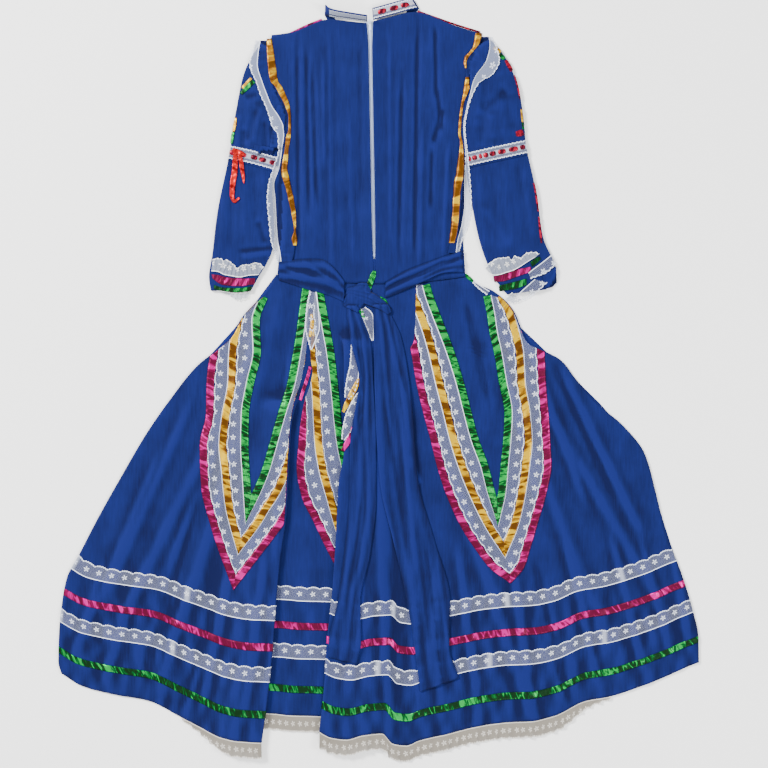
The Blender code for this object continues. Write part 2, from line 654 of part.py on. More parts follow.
def skirt_grid(columns, shares):
    """Middle of the cloth at each share of the way from the waist to the hem."""
    middle = np.zeros((len(shares), len(columns), 3))
    for j, column in enumerate(columns):
        top, hem = skirt_waist(column), skirt_hem(column)
        upper_hem = skirt_hem((column[0], 0)) if "fold" in column[0] else hem
        for i, share in enumerate(shares):
            shorter = (hem - upper_hem) * ease((share - UNDER_SHORTENS_FROM) / UNDER_SHORTENS_OVER)
            down = blend(top, upper_hem, share) + shorter
            across, up = skirt_point(column, down)
            middle[i, j] = (across, down, up)
    return middle


def offset(middle, distance):
    """A grid moved out along the normals of its sections."""
    along = np.zeros(middle.shape[:2] + (2,))
    along[..., 0] = 1.0
    return middle + section_normals(middle, along) * distance


def skirt_shares():
    """Rows of the back skirt: closer where the folds begin, and one at each edge of a row trim."""
    shares = [0.0, 0.06, 0.11, 0.127, 0.145, 0.161, 0.178, 0.205, 0.239, 0.257, 0.272, 0.287, 0.302,
              0.317, 0.335, 0.36, 0.4, 0.46, 0.53, 0.62]
    for row in ROW_TRIMS:
        shares += [1 - row.upper / SKIRT_LENGTH, 1 - row.lower / SKIRT_LENGTH]
    return shares + [1.0]


def build_skirt(collection):
    """The front skirt flat on the surface, the back skirt folded on it, and its rows of trim."""
    across_shares = np.linspace(0, 1, 17)

    def front_hem(across):
        if across < FOLD_LEFT[-1].across:
            return LEFT_HEM(across) - FRONT_SHORTER
        if across > FOLD_RIGHT[-1].across:
            return RIGHT_HEM(across) - FRONT_SHORTER
        return VALLEY_HEM(across) - FRONT_SHORTER

    grid = fan_grid(LEFT_SIDE, RIGHT_SIDE, lambda a: waist(a) + SEAM, front_hem, across_shares,
                    np.linspace(0, 1, 9))
    sheet("skirt_front", "blue_cloth", grid, np.zeros(grid.shape[:2]), CLOTH, collection)

    middle = skirt_grid(SKIRT_COLUMNS, skirt_shares())
    shell("skirt_back", "blue_cloth", offset(middle, -0.5 * CLOTH), offset(middle, 0.5 * CLOTH), collection)

    finishes = ("white_lace", "pink_satin", "white_lace", "green_satin")
    for row, finish in zip(ROW_TRIMS, finishes):
        middle = skirt_grid(SKIRT_COLUMNS,
                            [1 - row.upper / SKIRT_LENGTH, 1 - row.lower / SKIRT_LENGTH])
        low = 0.5 * CLOTH + GAP
        shell(row.name, finish, offset(middle, low), offset(middle, low + TRIM), collection)
    build_hem_lace(collection)


def build_hem_lace(collection):
    """The gathered lace below the hem, through both folds, tucked away near the sides."""
    parts, rows = [], []
    for column in SKIRT_COLUMNS:
        hem = skirt_hem(column)
        across, up = skirt_point(column, hem)
        if HEM_LACE_FROM < across < HEM_LACE_TO:
            parts.append(column[0])
            near_side = min(across - HEM_LACE_FROM, HEM_LACE_TO - across)
            drop = blend(HEM_LACE_LEAST, HEM_LACE_DROP, ease(near_side / HEM_LACE_FADE))
            rows.append([(across, hem + SEAM + drop * share, up) for share in (0.0, 0.5, 1.0)])
    finer = []
    run = 0.0
    for k in range(len(rows) - 1):
        here, after = np.array(rows[k]), np.array(rows[k + 1])
        open_cloth = parts[k] == parts[k + 1] and "fold" not in parts[k]
        pieces = HEM_WAVE_POINTS if open_cloth else 1
        for step in range(pieces):
            place = blend(here, after, step / pieces)
            if open_cloth:
                wave = HEM_WAVE_HEIGHT * math.sin(2 * math.pi * run / HEM_WAVE)
                place[1, 2] += 0.5 * wave
                place[2, 2] += wave
            finer.append(place)
            run += np.linalg.norm(after[0] - here[0]) / pieces
    finer.append(np.array(rows[-1]))
    grid = np.stack(finer, axis=1)
    shell("hem_lace", "white_lace", offset(grid, -0.5 * TRIM), offset(grid, 0.5 * TRIM), collection)


# The V sets

def strip(name, finish, left_edge, right_edge, below, collection, ceiling=CEILING, thick=TRIM, across=2,
          spread=0.0):
    """A strip between two lines of equal count, laid on the named solids."""
    shares = np.linspace(0, 1, across)
    grid = np.stack([blend(left_edge, right_edge, s) for s in shares], axis=1)
    under = lay_on(below, grid, ceiling, spread=spread)
    return sheet(name, finish, grid, under, thick, collection)


def beside(line, distance):
    """A line moved sideways in the plane, with its corners kept sharp."""
    tangent = np.gradient(line, axis=0)
    tangent /= np.maximum(np.linalg.norm(tangent, axis=1), 1e-9)[:, None]
    normal = np.stack([-tangent[:, 1], tangent[:, 0]], axis=1)
    before = np.diff(line, axis=0)
    before /= np.linalg.norm(before, axis=1)[:, None]
    turn = np.ones(len(line))
    turn[1:-1] = np.sqrt(np.maximum(0.5 * (1 + np.sum(before[1:] * before[:-1], axis=1)), 0.16))
    return line + normal * distance / turn[:, None]


def vee_line(rows, left_name, right_name, tip):
    """One ribbon's middle line: down its left leg to the tip and up its right leg."""
    left = [(getattr(r, left_name), r.down) for r in rows if getattr(r, left_name) is not None]
    right = [(getattr(r, right_name), r.down) for r in rows if getattr(r, right_name) is not None]
    if tip is None:
        return line_through(left, VEE_STATIONS + 3)
    down_leg = line_through(left + [tuple(tip)], VEE_STATIONS)
    up_leg = line_through([tuple(tip)] + right[::-1], VEE_STATIONS)
    return np.concatenate([down_leg, up_leg[1:]])


def held_inside(left_edge, right_edge, low, high):
    """The stretch of a strip that lies between two lines, cut off where it would leave them."""
    def inside(a, b):
        return all(low(p[1]) <= p[0] <= high(p[1]) for p in (a, b))

    kept = [k for k, (a, b) in enumerate(zip(left_edge, right_edge)) if inside(a, b)]
    rows = [(left_edge[k], right_edge[k]) for k in kept]
    for end, beyond, place in ((kept[0], kept[0] - 1, 0), (kept[-1], kept[-1] + 1, len(rows) + 1)):
        if 0 <= beyond < len(left_edge):
            for share in (0.9, 0.75, 0.6, 0.45, 0.3):
                a = blend(left_edge[end], left_edge[beyond], share)
                b = blend(right_edge[end], right_edge[beyond], share)
                if inside(a, b):
                    rows.insert(place, (a, b))
                    break
    return np.array([row[0] for row in rows]), np.array([row[1] for row in rows])


def build_vee(label, rows, tips, low, high, collection, ceiling=CEILING):
    """Five trims, from the inside out: green ribbon, lace, gold ribbon, lace, pink ribbon."""
    half = 0.5 * RIBBON_WIDTH
    below = ["skirt_back", "row_lace_upper"]
    lines = []
    for number, colour in enumerate(("green", "gold", "pink")):
        tip = tips[number] if tips else None
        line = vee_line(rows, f"{colour}_left", f"{colour}_right", tip)
        lines.append(line)
        edges = held_inside(beside(line, -half), beside(line, half), low, high)
        strip(f"{label}_{colour}", f"{colour}_satin", *edges, below, collection, ceiling)
    for inner, outer, suffix in ((lines[0], lines[1], "lace_inner"), (lines[1], lines[2], "lace_outer")):
        side = half + LACE_CLEAR
        far, near = beside(outer, -side), beside(inner, side)
        if suffix == "lace_inner":
            far[:, 0] = np.minimum(far[:, 0], [high(down) for down in far[:, 1]])
        edges = held_inside(far, near, low, high)
        strip(f"{label}_{suffix}", "white_lace", *edges, below, collection, ceiling)


def build_vees(collection):
    """Three sets show on the back; the second one lies in the valley of the folded skirt."""
    def by_left_side(down):
        return LEFT_SIDE(down) + 2.0

    def by_left_fold(down):
        return LEFT_FOLD(down) + fold_point(0, LEFT_DEPTH(down))[0] - 1.0

    shows_from, tie_ends = side_line(VALLEY_SHOWS), side_line(FOURTH_SHOWS)

    def in_valley(down):
        return LEFT_FOLD(down) + shows_from(down)

    def by_right_side(down):
        return RIGHT_SIDE(down) - 2.0

    build_vee("vee_left", FIRST_VEE, FIRST_TIPS, by_left_side, by_left_fold, collection)
    build_vee("vee_middle", SECOND_VEE, None, in_valley, by_right_side, collection, BELOW_TURNED_LAYER)
    build_vee("vee_right", FOURTH_VEE, FOURTH_TIPS, tie_ends, by_right_side, collection)


# The bodice and its zip

def zip_line(down):
    """The zip's place across."""
    return blend(ZIP_TOP.across, ZIP_END.across, (down - ZIP_TOP.down) / (ZIP_END.down - ZIP_TOP.down))


def build_bodice(collection):
    """The front flat on the surface, and the two backs with the zip between them."""
    left_side, right_side = side_line(BODICE_SIDE_LEFT), side_line(BODICE_SIDE_RIGHT)
    stand_off = side_line(ZIP_OPEN)
    neck_left, neck_right = edge_line(NECK_LEFT), edge_line(NECK_RIGHT)
    grid = fan_grid(left_side, right_side, edge_line(NECK_FRONT), waist, np.linspace(0, 1, 13),
                    [0, 0.06, 0.11, 0.17, 0.26, 0.33, 0.4, 0.5, 0.7, 1])
    sheet("bodice_front", "blue_cloth", grid, np.zeros(grid.shape[:2]), CLOTH, collection)

    rows = np.linspace(ZIP_TOP.down - 2, ZIP_END.down - 10, 9)
    section = [(-TAPE_HALF, 0, 1), (-COIL_HALF, 0, 1), (-0.8 * COIL_HALF, 0, COIL_HEIGHT),
               (0.8 * COIL_HALF, 0, COIL_HEIGHT), (COIL_HALF, 0, 1), (TAPE_HALF, 0, 1)]
    base = CLOTH + GAP
    low = np.array([[(zip_line(d) + s[0], d, base) for s in section] for d in rows])
    high = np.array([[(zip_line(d) + s[0], d, base + s[2]) for s in section] for d in rows])
    shell("zip_tape", "white_nylon", low, high, collection)

    down_shares = [0, 0.06, 0.14, 0.24, 0.32, 0.4, 0.5, 0.66, 0.8, 0.9, 1]
    across_shares = np.linspace(0, 1, 12)
    for name, left, right, neck in (
            ("bodice_back_left", left_side, lambda d: zip_line(d) - stand_off(d), neck_left),
            ("bodice_back_right", lambda d: zip_line(d) + stand_off(d), right_side, neck_right)):
        grid = fan_grid(left, right, neck, waist, across_shares, down_shares)
        under = lay_on(["bodice_front", "zip_tape"], grid, floor=CLOTH)
        for i in range(grid.shape[0]):
            for j in range(grid.shape[1]):
                under[i, j] += soft_folds(BODICE_FOLDS, *grid[i, j])
        sheet(name, "blue_cloth", grid, under, CLOTH, collection)


def build_zip_slider(collection):
    """The slider on the coil with its bridge, and the pull tab hinged in it."""
    top = CLOTH + GAP + COIL_HEIGHT + GAP
    across = zip_line(SLIDER_DOWN)
    half_width, half_length = 0.5 * SLIDER_WIDTH, 0.5 * SLIDER_LENGTH
    outline = [(-0.5 * half_width, -half_length), (0.5 * half_width, -half_length),
               (half_width, -0.2 * half_length), (0.7 * half_width, half_length),
               (-0.7 * half_width, half_length), (-half_width, -0.2 * half_length)]
    working = bmesh.new()
    ring = [working.verts.new(((across + x - MIDDLE_ACROSS) * MM,
                               (MIDDLE_DOWN - SLIDER_DOWN - y) * MM, top * MM)) for x, y in outline]
    face = working.faces.new(ring)
    raised = bmesh.ops.extrude_face_region(working, geom=[face])
    bmesh.ops.translate(working, vec=(0, 0, SLIDER_THICK * MM),
                        verts=[v for v in raised["geom"] if isinstance(v, bmesh.types.BMVert)])
    bmesh.ops.recalc_face_normals(working, faces=working.faces)
    bmesh.ops.triangulate(working, faces=working.faces)
    mesh = bpy.data.meshes.new("zip_slider")
    working.to_mesh(mesh)
    working.free()
    mesh.materials.append(material("white_nylon"))
    slider = bpy.data.objects.new("zip_slider", mesh)
    collection.objects.link(slider)
    keep(slider)

    hinge = top + SLIDER_THICK + GAP + 0.5 * PULL_THICK
    bpy.ops.mesh.primitive_cube_add(size=1.0)
    pull = bpy.context.object
    pull.name = "zip_pull"
    pull.data.name = "zip_pull"
    for vertex in pull.data.vertices:
        narrow = 0.62 if vertex.co.y > 0 else 1.0
        vertex.co.x *= PULL_WIDTH * narrow * MM
        vertex.co.y = (vertex.co.y - 0.5) * PULL_LENGTH * MM + PULL_EYE * MM
        vertex.co.z *= PULL_THICK * MM
    pull.location = ((across - MIDDLE_ACROSS) * MM, (MIDDLE_DOWN - SLIDER_DOWN) * MM, hinge * MM)
    rounded = pull.modifiers.new("rounded edges", "BEVEL")
    rounded.width = 0.25 * MM
    rounded.segments = 1
    pull.data.materials.append(material("white_nylon"))
    for other in list(pull.users_collection):
        other.objects.unlink(pull)
    collection.objects.link(pull)


def keep(piece):
    """Keep a solid made another way for what is laid on it."""
    piece.data.calc_loop_triangles()
    points = [(v.co.x / MM + MIDDLE_ACROSS, MIDDLE_DOWN - v.co.y / MM, v.co.z / MM)
              for v in piece.data.vertices]
    MADE[piece.name] = (np.array(points), [tuple(t.vertices) for t in piece.data.loop_triangles])


# The collar

def build_collar(collection):
    """One band round the neck, flattened, with its ends at the zip."""
    rows = COLLAR_BACK_LEFT + COLLAR_SIDE_LEFT + COLLAR_FRONT + COLLAR_SIDE_RIGHT + COLLAR_BACK_RIGHT
    path = line_through([(r.across, r.down, r.height, r.lean_right, r.lean_up, r.stand) for r in rows],
                        COLLAR_STATIONS)
    seam = path[:, :3]
    reach = np.stack([path[:, 3], -path[:, 4], path[:, 5]], axis=1)
    reach *= COLLAR_WIDTH / np.linalg.norm(reach, axis=1)[:, None]
    middle = np.stack([seam, seam + 0.5 * reach, seam + reach], axis=0)
    tangent = np.gradient(middle, axis=1)
    normal = np.cross(tangent, reach[None, :, :])
    normal /= np.linalg.norm(normal, axis=2)[..., None]
    shell("collar", "blue_cloth", middle - 0.5 * CLOTH * normal, middle + 0.5 * CLOTH * normal, collection)
    for name, part in (("collar_trim_left", slice(1, COLLAR_TRIM_ROWS)),
                       ("collar_trim_right", slice(-COLLAR_TRIM_ROWS, -1))):
        line = middle[:, part]
        edge_low = blend(line[0], line[2], COLLAR_TRIM_INSET)
        edge_high = blend(line[0], line[2], 1 - COLLAR_TRIM_INSET)
        trim = np.stack([edge_low, edge_high], axis=0)
        outward = normal[:2, part] * (1 if normal[0, part][0, 2] > 0 else -1)
        start = 0.5 * CLOTH + GAP
        shell(name, "white_lace", trim + outward * start, trim + outward * (start + TRIM), collection)


# The sleeves

def build_sleeves(collection):
    """Each sleeve is a puff folded at its outer edge and a flattened tube below its band."""
    for side, puff, forearm, armhole in (
            ("left", PUFF_LEFT, FOREARM_LEFT, BODICE_SIDE_LEFT),
            ("right", PUFF_RIGHT, FOREARM_RIGHT, BODICE_SIDE_RIGHT)):
        build_puff(f"sleeve_upper_{side}", puff, side_line(armhole), collection)
        build_forearm(f"sleeve_lower_{side}", forearm, collection)


def sleeve_rows(table, count):
    """Rows of a sleeve between those of its table."""
    return [SleeveRow(*row) for row in line_through([tuple(row) for row in table], count)]


def gathers(share, near_band):
    """Height of the small gathers that the band holds."""
    return GATHER_HEIGHT * near_band * math.sin(2 * math.pi * GATHERS * share)


def build_puff(name, table, armhole, collection):
    """The cloth from the armhole over the outer fold and back, open at the armhole and the band."""
    rows = []
    for row in sleeve_rows(table, 8):
        outward = 1 if row.outer > 0 else -1
        rows.append(row._replace(inner=armhole(row.inner_down) + outward * ARMHOLE_SEAM))
    turn_points = 3
    middle, along = [], []
    for number, row in enumerate(rows):
        near_band = ease((number - 4) / 3)
        direction = np.array([row.outer - row.inner, row.outer_down - row.inner_down])
        length = np.linalg.norm(direction)
        direction /= length
        turn, base = 0.5 * SLEEVE_EDGE, 0.5 * CLOTH
        line = []
        for share in np.linspace(0, 1, SLEEVE_COLUMNS):
            high = SLEEVE_EDGE + 0.5 * CLOTH + row.rise * math.sin(math.pi * share) ** 0.7
            high += gathers(share, near_band) * math.sin(math.pi * share)
            line.append(((length - turn) * share, high))
        top = line[-1][1]
        for k in range(1, turn_points + 1):
            angle = math.radians(90 - 180 * k / (turn_points + 1))
            line.append((length - turn + turn * math.cos(angle),
                         0.5 * (top + base) + 0.5 * (top - base) * math.sin(angle)))
        for share in np.linspace(1, 0, 4):
            line.append(((length - turn) * share, base))
        middle.append([(row.inner + direction[0] * s, row.inner_down + direction[1] * s, z) for s, z in line])
        along.append(np.tile(direction, (len(line), 1)))
    middle, along = np.array(middle), np.array(along)
    normal = section_normals(middle, along)
    shell(name, "blue_cloth", middle - 0.5 * CLOTH * normal, middle + 0.5 * CLOTH * normal, collection)


def build_forearm(name, table, collection):
    """A flattened tube, open at the band and at the wrist."""
    rows = sleeve_rows(table, 9)
    outer_ring, inner_ring = [], []
    for number, row in enumerate(rows):
        near_band = ease((3 - number) / 3)
        direction = np.array([row.outer - row.inner, row.outer_down - row.inner_down])
        length = np.linalg.norm(direction)
        direction /= length
        ring = [[], []]
        for share in np.linspace(0, 1, SLEEVE_COLUMNS):
            high = 2 * CLOTH + 0.8 + row.rise * math.sin(math.pi * share) ** 0.7
            high += gathers(share, near_band) * math.sin(math.pi * share)
            ring[0].append((length * share, high))
            ring[1].append((blend(CLOTH, length - CLOTH, share), high - CLOTH))
        for share in (0.99, 0.66, 0.33, 0.01):
            ring[0].append((length * share, 0.0))
            ring[1].append((blend(CLOTH, length - CLOTH, share), CLOTH))
        for target, points in zip((outer_ring, inner_ring), ring):
            target.append([(row.inner + direction[0] * s, row.inner_down + direction[1] * s, z)
                           for s, z in points])
    shell(name, "blue_cloth", np.array(inner_ring), np.array(outer_ring), collection, closed=True)


def ribbon_across(name, finish, line, width, below, collection, stations=8, thick=TRIM):
    """A strip of one width along a line, laid on the named solids."""
    middle = line_through([tuple(p) for p in line], stations)
    return strip(name, finish, beside(middle, -0.5 * width), beside(middle, 0.5 * width), below,
                 collection, thick=thick, across=3, spread=OVER_EDGES)


def build_sleeve_trims(collection):
    """Ribbon-threaded lace bands, the bow, and the trims of both cuffs."""
    for side, band, cuffs in (
            ("left", BAND_LEFT, (CUFF_LACE_LEFT, CUFF_PINK_LEFT, CUFF_GREEN_LEFT, CUFF_HEM_LEFT)),
            ("right", BAND_RIGHT, (CUFF_LACE_RIGHT, CUFF_PINK_RIGHT, CUFF_GREEN_RIGHT, CUFF_HEM_RIGHT))):
        below = [f"sleeve_upper_{side}", f"sleeve_lower_{side}"]
        ribbon_across(f"sleeve_band_{side}", "white_lace", band, BAND_WIDTH, below, collection, 10)
        lace, pink, green, hem = cuffs
        lower = below[1:]
        ribbon_across(f"cuff_lace_{side}", "white_lace", lace, 14.0, lower, collection)
        ribbon_across(f"cuff_ribbon_pink_{side}", "pink_satin", pink, 10.0, lower, collection)
        ribbon_across(f"cuff_ribbon_green_{side}", "green_satin", green, 9.0, lower, collection)
        ribbon_across(f"cuff_hem_lace_{side}", "white_lace", hem, 17.0, lower, collection)
    below = ["sleeve_upper_left", "sleeve_lower_left", "sleeve_band_left"]
    path = [tuple(p) for p in BOW_LEFT_TAIL + [BOW_KNOT] + BOW_RIGHT_TAIL]
    middle = np.concatenate([line_through(path[:5], 7), line_through(path[4:], 5)[1:]])
    half = 0.5 * BOW_WIDTH
    grid = np.stack([beside(middle, -half), middle, beside(middle, half)], axis=1)
    under = lay_on(below, grid, spread=OVER_EDGES)
    knot = np.exp(-np.linalg.norm(grid - np.array(tuple(BOW_KNOT)), axis=2) ** 2 / 60.0)
    high = np.dstack([grid, under + TRIM + 4.0 * knot])
    shell("sleeve_bow_left", "red_satin", np.dstack([grid, under]), high, collection)


# The wings over the armholes

def build_wings(collection):
    """A narrow flounce over each armhole, with a gold ribbon at its root and lace on its edge."""
    for side, table in (("left", WING_LEFT), ("right", WING_RIGHT)):
        rows = line_through([tuple(row) for row in table], 19)

        def line(column, shift=0.0, at=rows):
            return np.stack([at[:, column] + shift, at[:, 0]], axis=1)

        out = 1.0 if side == "right" else -1.0
        below = [f"bodice_back_{side}", f"sleeve_upper_{side}", f"sleeve_lower_{side}",
                 f"sleeve_band_{side}", "bodice_front"]
        strip(f"wing_{side}", "blue_cloth", line(1), line(3), below, collection, across=4, thick=CLOTH,
              spread=OVER_EDGES)
        strip(f"wing_lace_{side}", "white_lace", line(3, 2 * out * GAP), line(4), below, collection,
              across=3, spread=OVER_EDGES)
        strip(f"wing_ribbon_{side}", "gold_satin", line(1), line(2), [f"wing_{side}"], collection,
              spread=OVER_EDGES)


# The sash

def folded_sheet(name, grid, below, folds, height, collection, thick=CLOTH):
    """A sheet laid down with soft folds along its length."""
    under = lay_on(below, grid, spread=OVER_EDGES)
    rows, columns = grid.shape[:2]
    shares = np.linspace(0, 1, columns)
    for i in range(rows):
        swell = 0.5 - 0.5 * np.cos(2 * math.pi * folds * shares + 0.25 * i)
        under[i] += height * swell * np.sin(math.pi * np.clip(shares, 0.04, 0.96)) ** 0.5
    return sheet(name, "blue_cloth", grid, under, thick, collection)


def build_sash(collection):
    """Two ties from the side seams to the knot, and the two tails that hang from it."""
    trims = [n for n in MADE if n.startswith(("vee_", "row_"))]
    cloth = ["skirt_back", "skirt_front", "bodice_back_left", "bodice_back_right", "zip_tape"]
    below = cloth + trims
    for name, table in (("sash_tie_left", SASH_TIE_LEFT), ("sash_tie_right", SASH_TIE_RIGHT)):
        rows = line_through([tuple(row) for row in table], 12)
        grid = np.array([[(row[0], blend(row[1], row[2], s)) for s in np.linspace(0, 1, 9)] for row in rows])
        folded_sheet(name, grid, below, 2, 2.4, collection)
    below += ["sash_tie_left", "sash_tie_right"]
    for name, table, slant in (("sash_tail_left", SASH_TAIL_LEFT, 0.5),
                               ("sash_tail_right", SASH_TAIL_RIGHT, -1)):
        rows = line_through([tuple(row) for row in table], 16)
        grid = []
        for number, row in enumerate(rows):
            near_end = ease((number - 12) / 3)
            grid.append([(blend(row[1], row[2], s), row[0] + TAIL_END_SLANT * slant * (s - 0.5) * near_end)
                         for s in np.linspace(0, 1, 8)])
        folded_sheet(name, np.array(grid), below, 2, 2.2, collection)
        below.append(name)
    build_knot(below, collection)


def build_knot(below, collection):
    """The knot: a rounded lump with a crossing strand pressed into it."""
    shares = np.linspace(-1, 1, 11)
    grid = np.zeros((11, 11, 2))
    bulge = np.zeros((11, 11))
    for i, v in enumerate(shares):
        for j, u in enumerate(shares):
            round_u = u * math.sqrt(1 - 0.42 * v * v)
            round_v = v * math.sqrt(1 - 0.42 * u * u)
            grid[i, j] = (KNOT_MIDDLE.across + KNOT_HALF_ACROSS * round_u,
                          KNOT_MIDDLE.down + KNOT_HALF_DOWN * round_v + 6 * round_u)
            reach = min(1.0, math.hypot(round_u, round_v))
            crease = math.exp(-((round_v - 0.25 * round_u) / 0.16) ** 2)
            bulge[i, j] = math.sqrt(1 - reach ** 2) * KNOT_HEIGHT - 2.5 * crease * (1 - reach)
    under = lay_on(below, grid, spread=OVER_EDGES)
    level = np.full_like(under, under.max())
    low = np.dstack([grid, under])
    high = np.dstack([grid, blend(under, level, 0.4) + CLOTH + np.maximum(bulge, 0)])
    shell("sash_knot", "blue_cloth", low, high, collection)


def main():
    """Build the whole dress."""
    for piece in list(bpy.data.objects):
        bpy.data.objects.remove(piece, do_unlink=True)
    collection = bpy.data.collections.new("folklorico_dress")
    bpy.context.scene.collection.children.link(collection)
    build_bodice(collection)
    build_zip_slider(collection)
    build_collar(collection)
    build_skirt(collection)
    build_vees(collection)
    build_sleeves(collection)
    build_sleeve_trims(collection)
    build_wings(collection)
    build_sash(collection)


main()
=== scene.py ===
"""The looks of a folklorico dress that lies flat with its back side up.

Places on the garment are given as its maker measures them, in millimetres: across from its middle,
to the right positive, down from the top of the collar, and up from the surface that it lies on.
Each panel keeps the form of its solid and gets its creases, its cloth and its sewing here. Ribbons
and laces are run along the same lines as their solids and laid down on the finished cloth.
"""

import logging
import math
from collections.abc import Callable, Sequence
from dataclasses import dataclass, field
from enum import Enum
from functools import partial
from typing import NamedTuple

import bmesh
import bpy
import numpy as np
from mathutils import Matrix, Vector
from mathutils.bvhtree import BVHTree


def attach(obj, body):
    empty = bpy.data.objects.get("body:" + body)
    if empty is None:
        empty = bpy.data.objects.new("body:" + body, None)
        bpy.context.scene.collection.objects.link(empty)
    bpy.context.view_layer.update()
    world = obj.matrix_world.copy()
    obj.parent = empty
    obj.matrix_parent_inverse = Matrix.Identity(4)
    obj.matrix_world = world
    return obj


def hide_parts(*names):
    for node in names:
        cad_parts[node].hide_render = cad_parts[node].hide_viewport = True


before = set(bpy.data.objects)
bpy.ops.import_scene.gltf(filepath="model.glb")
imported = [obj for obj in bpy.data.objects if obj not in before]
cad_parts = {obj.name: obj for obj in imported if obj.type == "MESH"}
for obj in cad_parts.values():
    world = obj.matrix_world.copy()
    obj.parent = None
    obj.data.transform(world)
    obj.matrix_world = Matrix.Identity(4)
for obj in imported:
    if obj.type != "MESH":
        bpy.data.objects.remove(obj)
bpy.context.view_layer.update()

log = logging.getLogger("dress")

MM = 0.001
GARMENT_MIDDLE = (1.0, 605.0, 0.0)
TO_METRES = (MM, -MM, MM)
SLIVER = 0.05 * MM * MM
JOINED = 0.02 * MM

Array = np.ndarray
Piece = bpy.types.Object
Pieces = Sequence[bpy.types.Object]
Socket = bpy.types.NodeSocket
Table = Sequence[Sequence[float]]
Line = Callable[[float], float]


def to_frame(places: Array) -> Array:
    """Turn garment places, (across, down, up) in millimetres, into frame points in metres."""
    return (np.asarray(places, float) - GARMENT_MIDDLE) * TO_METRES


def to_garment(points: Array) -> Array:
    """Turn frame points in metres into garment places in millimetres."""
    return np.asarray(points, float) / TO_METRES + GARMENT_MIDDLE


def ease(t: Array) -> Array:
    """A soft step from 0 to 1."""
    t = np.clip(t, 0.0, 1.0)
    return t * t * (3 - 2 * t)


def blend(a: Array, b: Array, t: Array) -> Array:
    """The way from a to b at share t."""
    return a + (b - a) * t


def unit(vectors: Array) -> Array:
    """Vectors with their length made 1."""
    return vectors / np.maximum(np.linalg.norm(vectors, axis=-1, keepdims=True), 1e-9)


def smooth_through(keys: Sequence[float], values: Sequence[float]) -> Line:
    """Make a smooth line through table rows that never overshoots them.

    Args:
        keys: where the rows are, rising.
        values: the value at each row.

    Returns:
        A function that gives the value anywhere, level past both ends.
    """
    at_rows, rows = np.asarray(keys, float), np.asarray(values, float)
    step = np.diff(at_rows)
    slope = np.diff(rows) / step
    tangent = np.zeros_like(rows)
    tangent[0], tangent[-1] = slope[0], slope[-1]
    for k in range(1, len(rows) - 1):
        if slope[k - 1] * slope[k] > 0:
            before, after = 2 * step[k] + step[k - 1], step[k] + 2 * step[k - 1]
            tangent[k] = (before + after) / (before / slope[k - 1] + after / slope[k])

    def value(at: float) -> float:
        """The line's value at one key.

        Args:
            at: the key, or an array of keys.

        Returns:
            The value there.
        """
        at = np.clip(at, at_rows[0], at_rows[-1])
        k = np.clip(np.searchsorted(at_rows, at, side="right") - 1, 0, len(step) - 1)
        t = (at - at_rows[k]) / step[k]
        return ((1 + 2 * t) * (1 - t) ** 2 * rows[k] + t * (1 - t) ** 2 * step[k] * tangent[k]
                + t * t * (3 - 2 * t) * rows[k + 1] + t * t * (t - 1) * step[k] * tangent[k + 1])

    return value


def run_of(line: Array) -> Array:
    """How far along a line each of its points is, in millimetres."""
    return np.concatenate([[0.0], np.cumsum(np.linalg.norm(np.diff(line, axis=0), axis=1))])


def line_through(places: Table, spacing: float) -> Array:
    """Even points on a smooth curve through the given ones.

    Args:
        places: the points that the curve runs through.
        spacing: the distance between the points that come back, in millimetres.

    Returns:
        An array with one row for each point.
    """
    given = np.asarray(places, float)
    run = run_of(given)
    at = np.linspace(0.0, run[-1], max(3, round(run[-1] / spacing) + 1))
    return np.stack([smooth_through(run, column)(at) for column in given.T], axis=1)


def even(line: Array, count: int) -> Array:
    """The same line with another number of points, evenly spaced."""
    run = run_of(line)
    return np.stack([np.interp(np.linspace(0.0, run[-1], count), run, k) for k in line.T], axis=1)


def beside(line: Array, distance: float | Array) -> Array:
    """Move a line of (across, down) to the left of its run, seen from above, in millimetres."""
    left = unit(np.gradient(line, axis=0))[:, ::-1] * (-1, 1)
    return line + left * np.broadcast_to(distance, len(line))[:, None]


# Colours and shader nodes

SOFT = {"interpolation_type": "SMOOTHSTEP"}
# The mesh layer that paints shade into the cloth's hollows and light onto its ridges.
HOLLOW_SHADING_LAYER = "hollow_shading"


def linear(hex_colour: str) -> tuple[float, ...]:
    """Turn an sRGB hex colour, such as "#2A4590", into a linear one with an alpha of 1."""
    parts = [int(hex_colour[k:k + 2], 16) / 255 for k in (1, 3, 5)]
    return *(c / 12.92 if c <= 0.04045 else ((c + 0.055) / 1.055) ** 2.4 for c in parts), 1.0


def fill(node: bpy.types.Node, inputs: dict[str | int, object]) -> None:
    """Give a node's inputs their values, or link other nodes' outputs to them.

    Args:
        node: the node.
        inputs: a value, or an output to link, for each input's number or name.
    """
    for socket, value in inputs.items():
        if isinstance(value, Socket):
            node.id_data.links.new(value, node.inputs[socket])
        else:
            node.inputs[socket].default_value = value


def add(tree: bpy.types.NodeTree, kind: str, *inputs: object, out: str | int = 0,
        **settings: object) -> Socket:
    """Add one shader node with its settings and links.

    Args:
        tree: the material's node tree.
        kind: the last part of the node's type, such as "Math".
        inputs: values or other nodes' outputs, in the order of its inputs, or a dict of them.
        out: which of its outputs comes back.
        settings: the node's own settings.

    Returns:
        The output.
    """
    made = tree.nodes.new(f"ShaderNode{kind}")
    for name, value in settings.items():
        setattr(made, name, value)
    named = bool(inputs) and isinstance(inputs[0], dict)
    fill(made, inputs[0] if named else dict(enumerate(inputs)))
    return made.outputs[out]


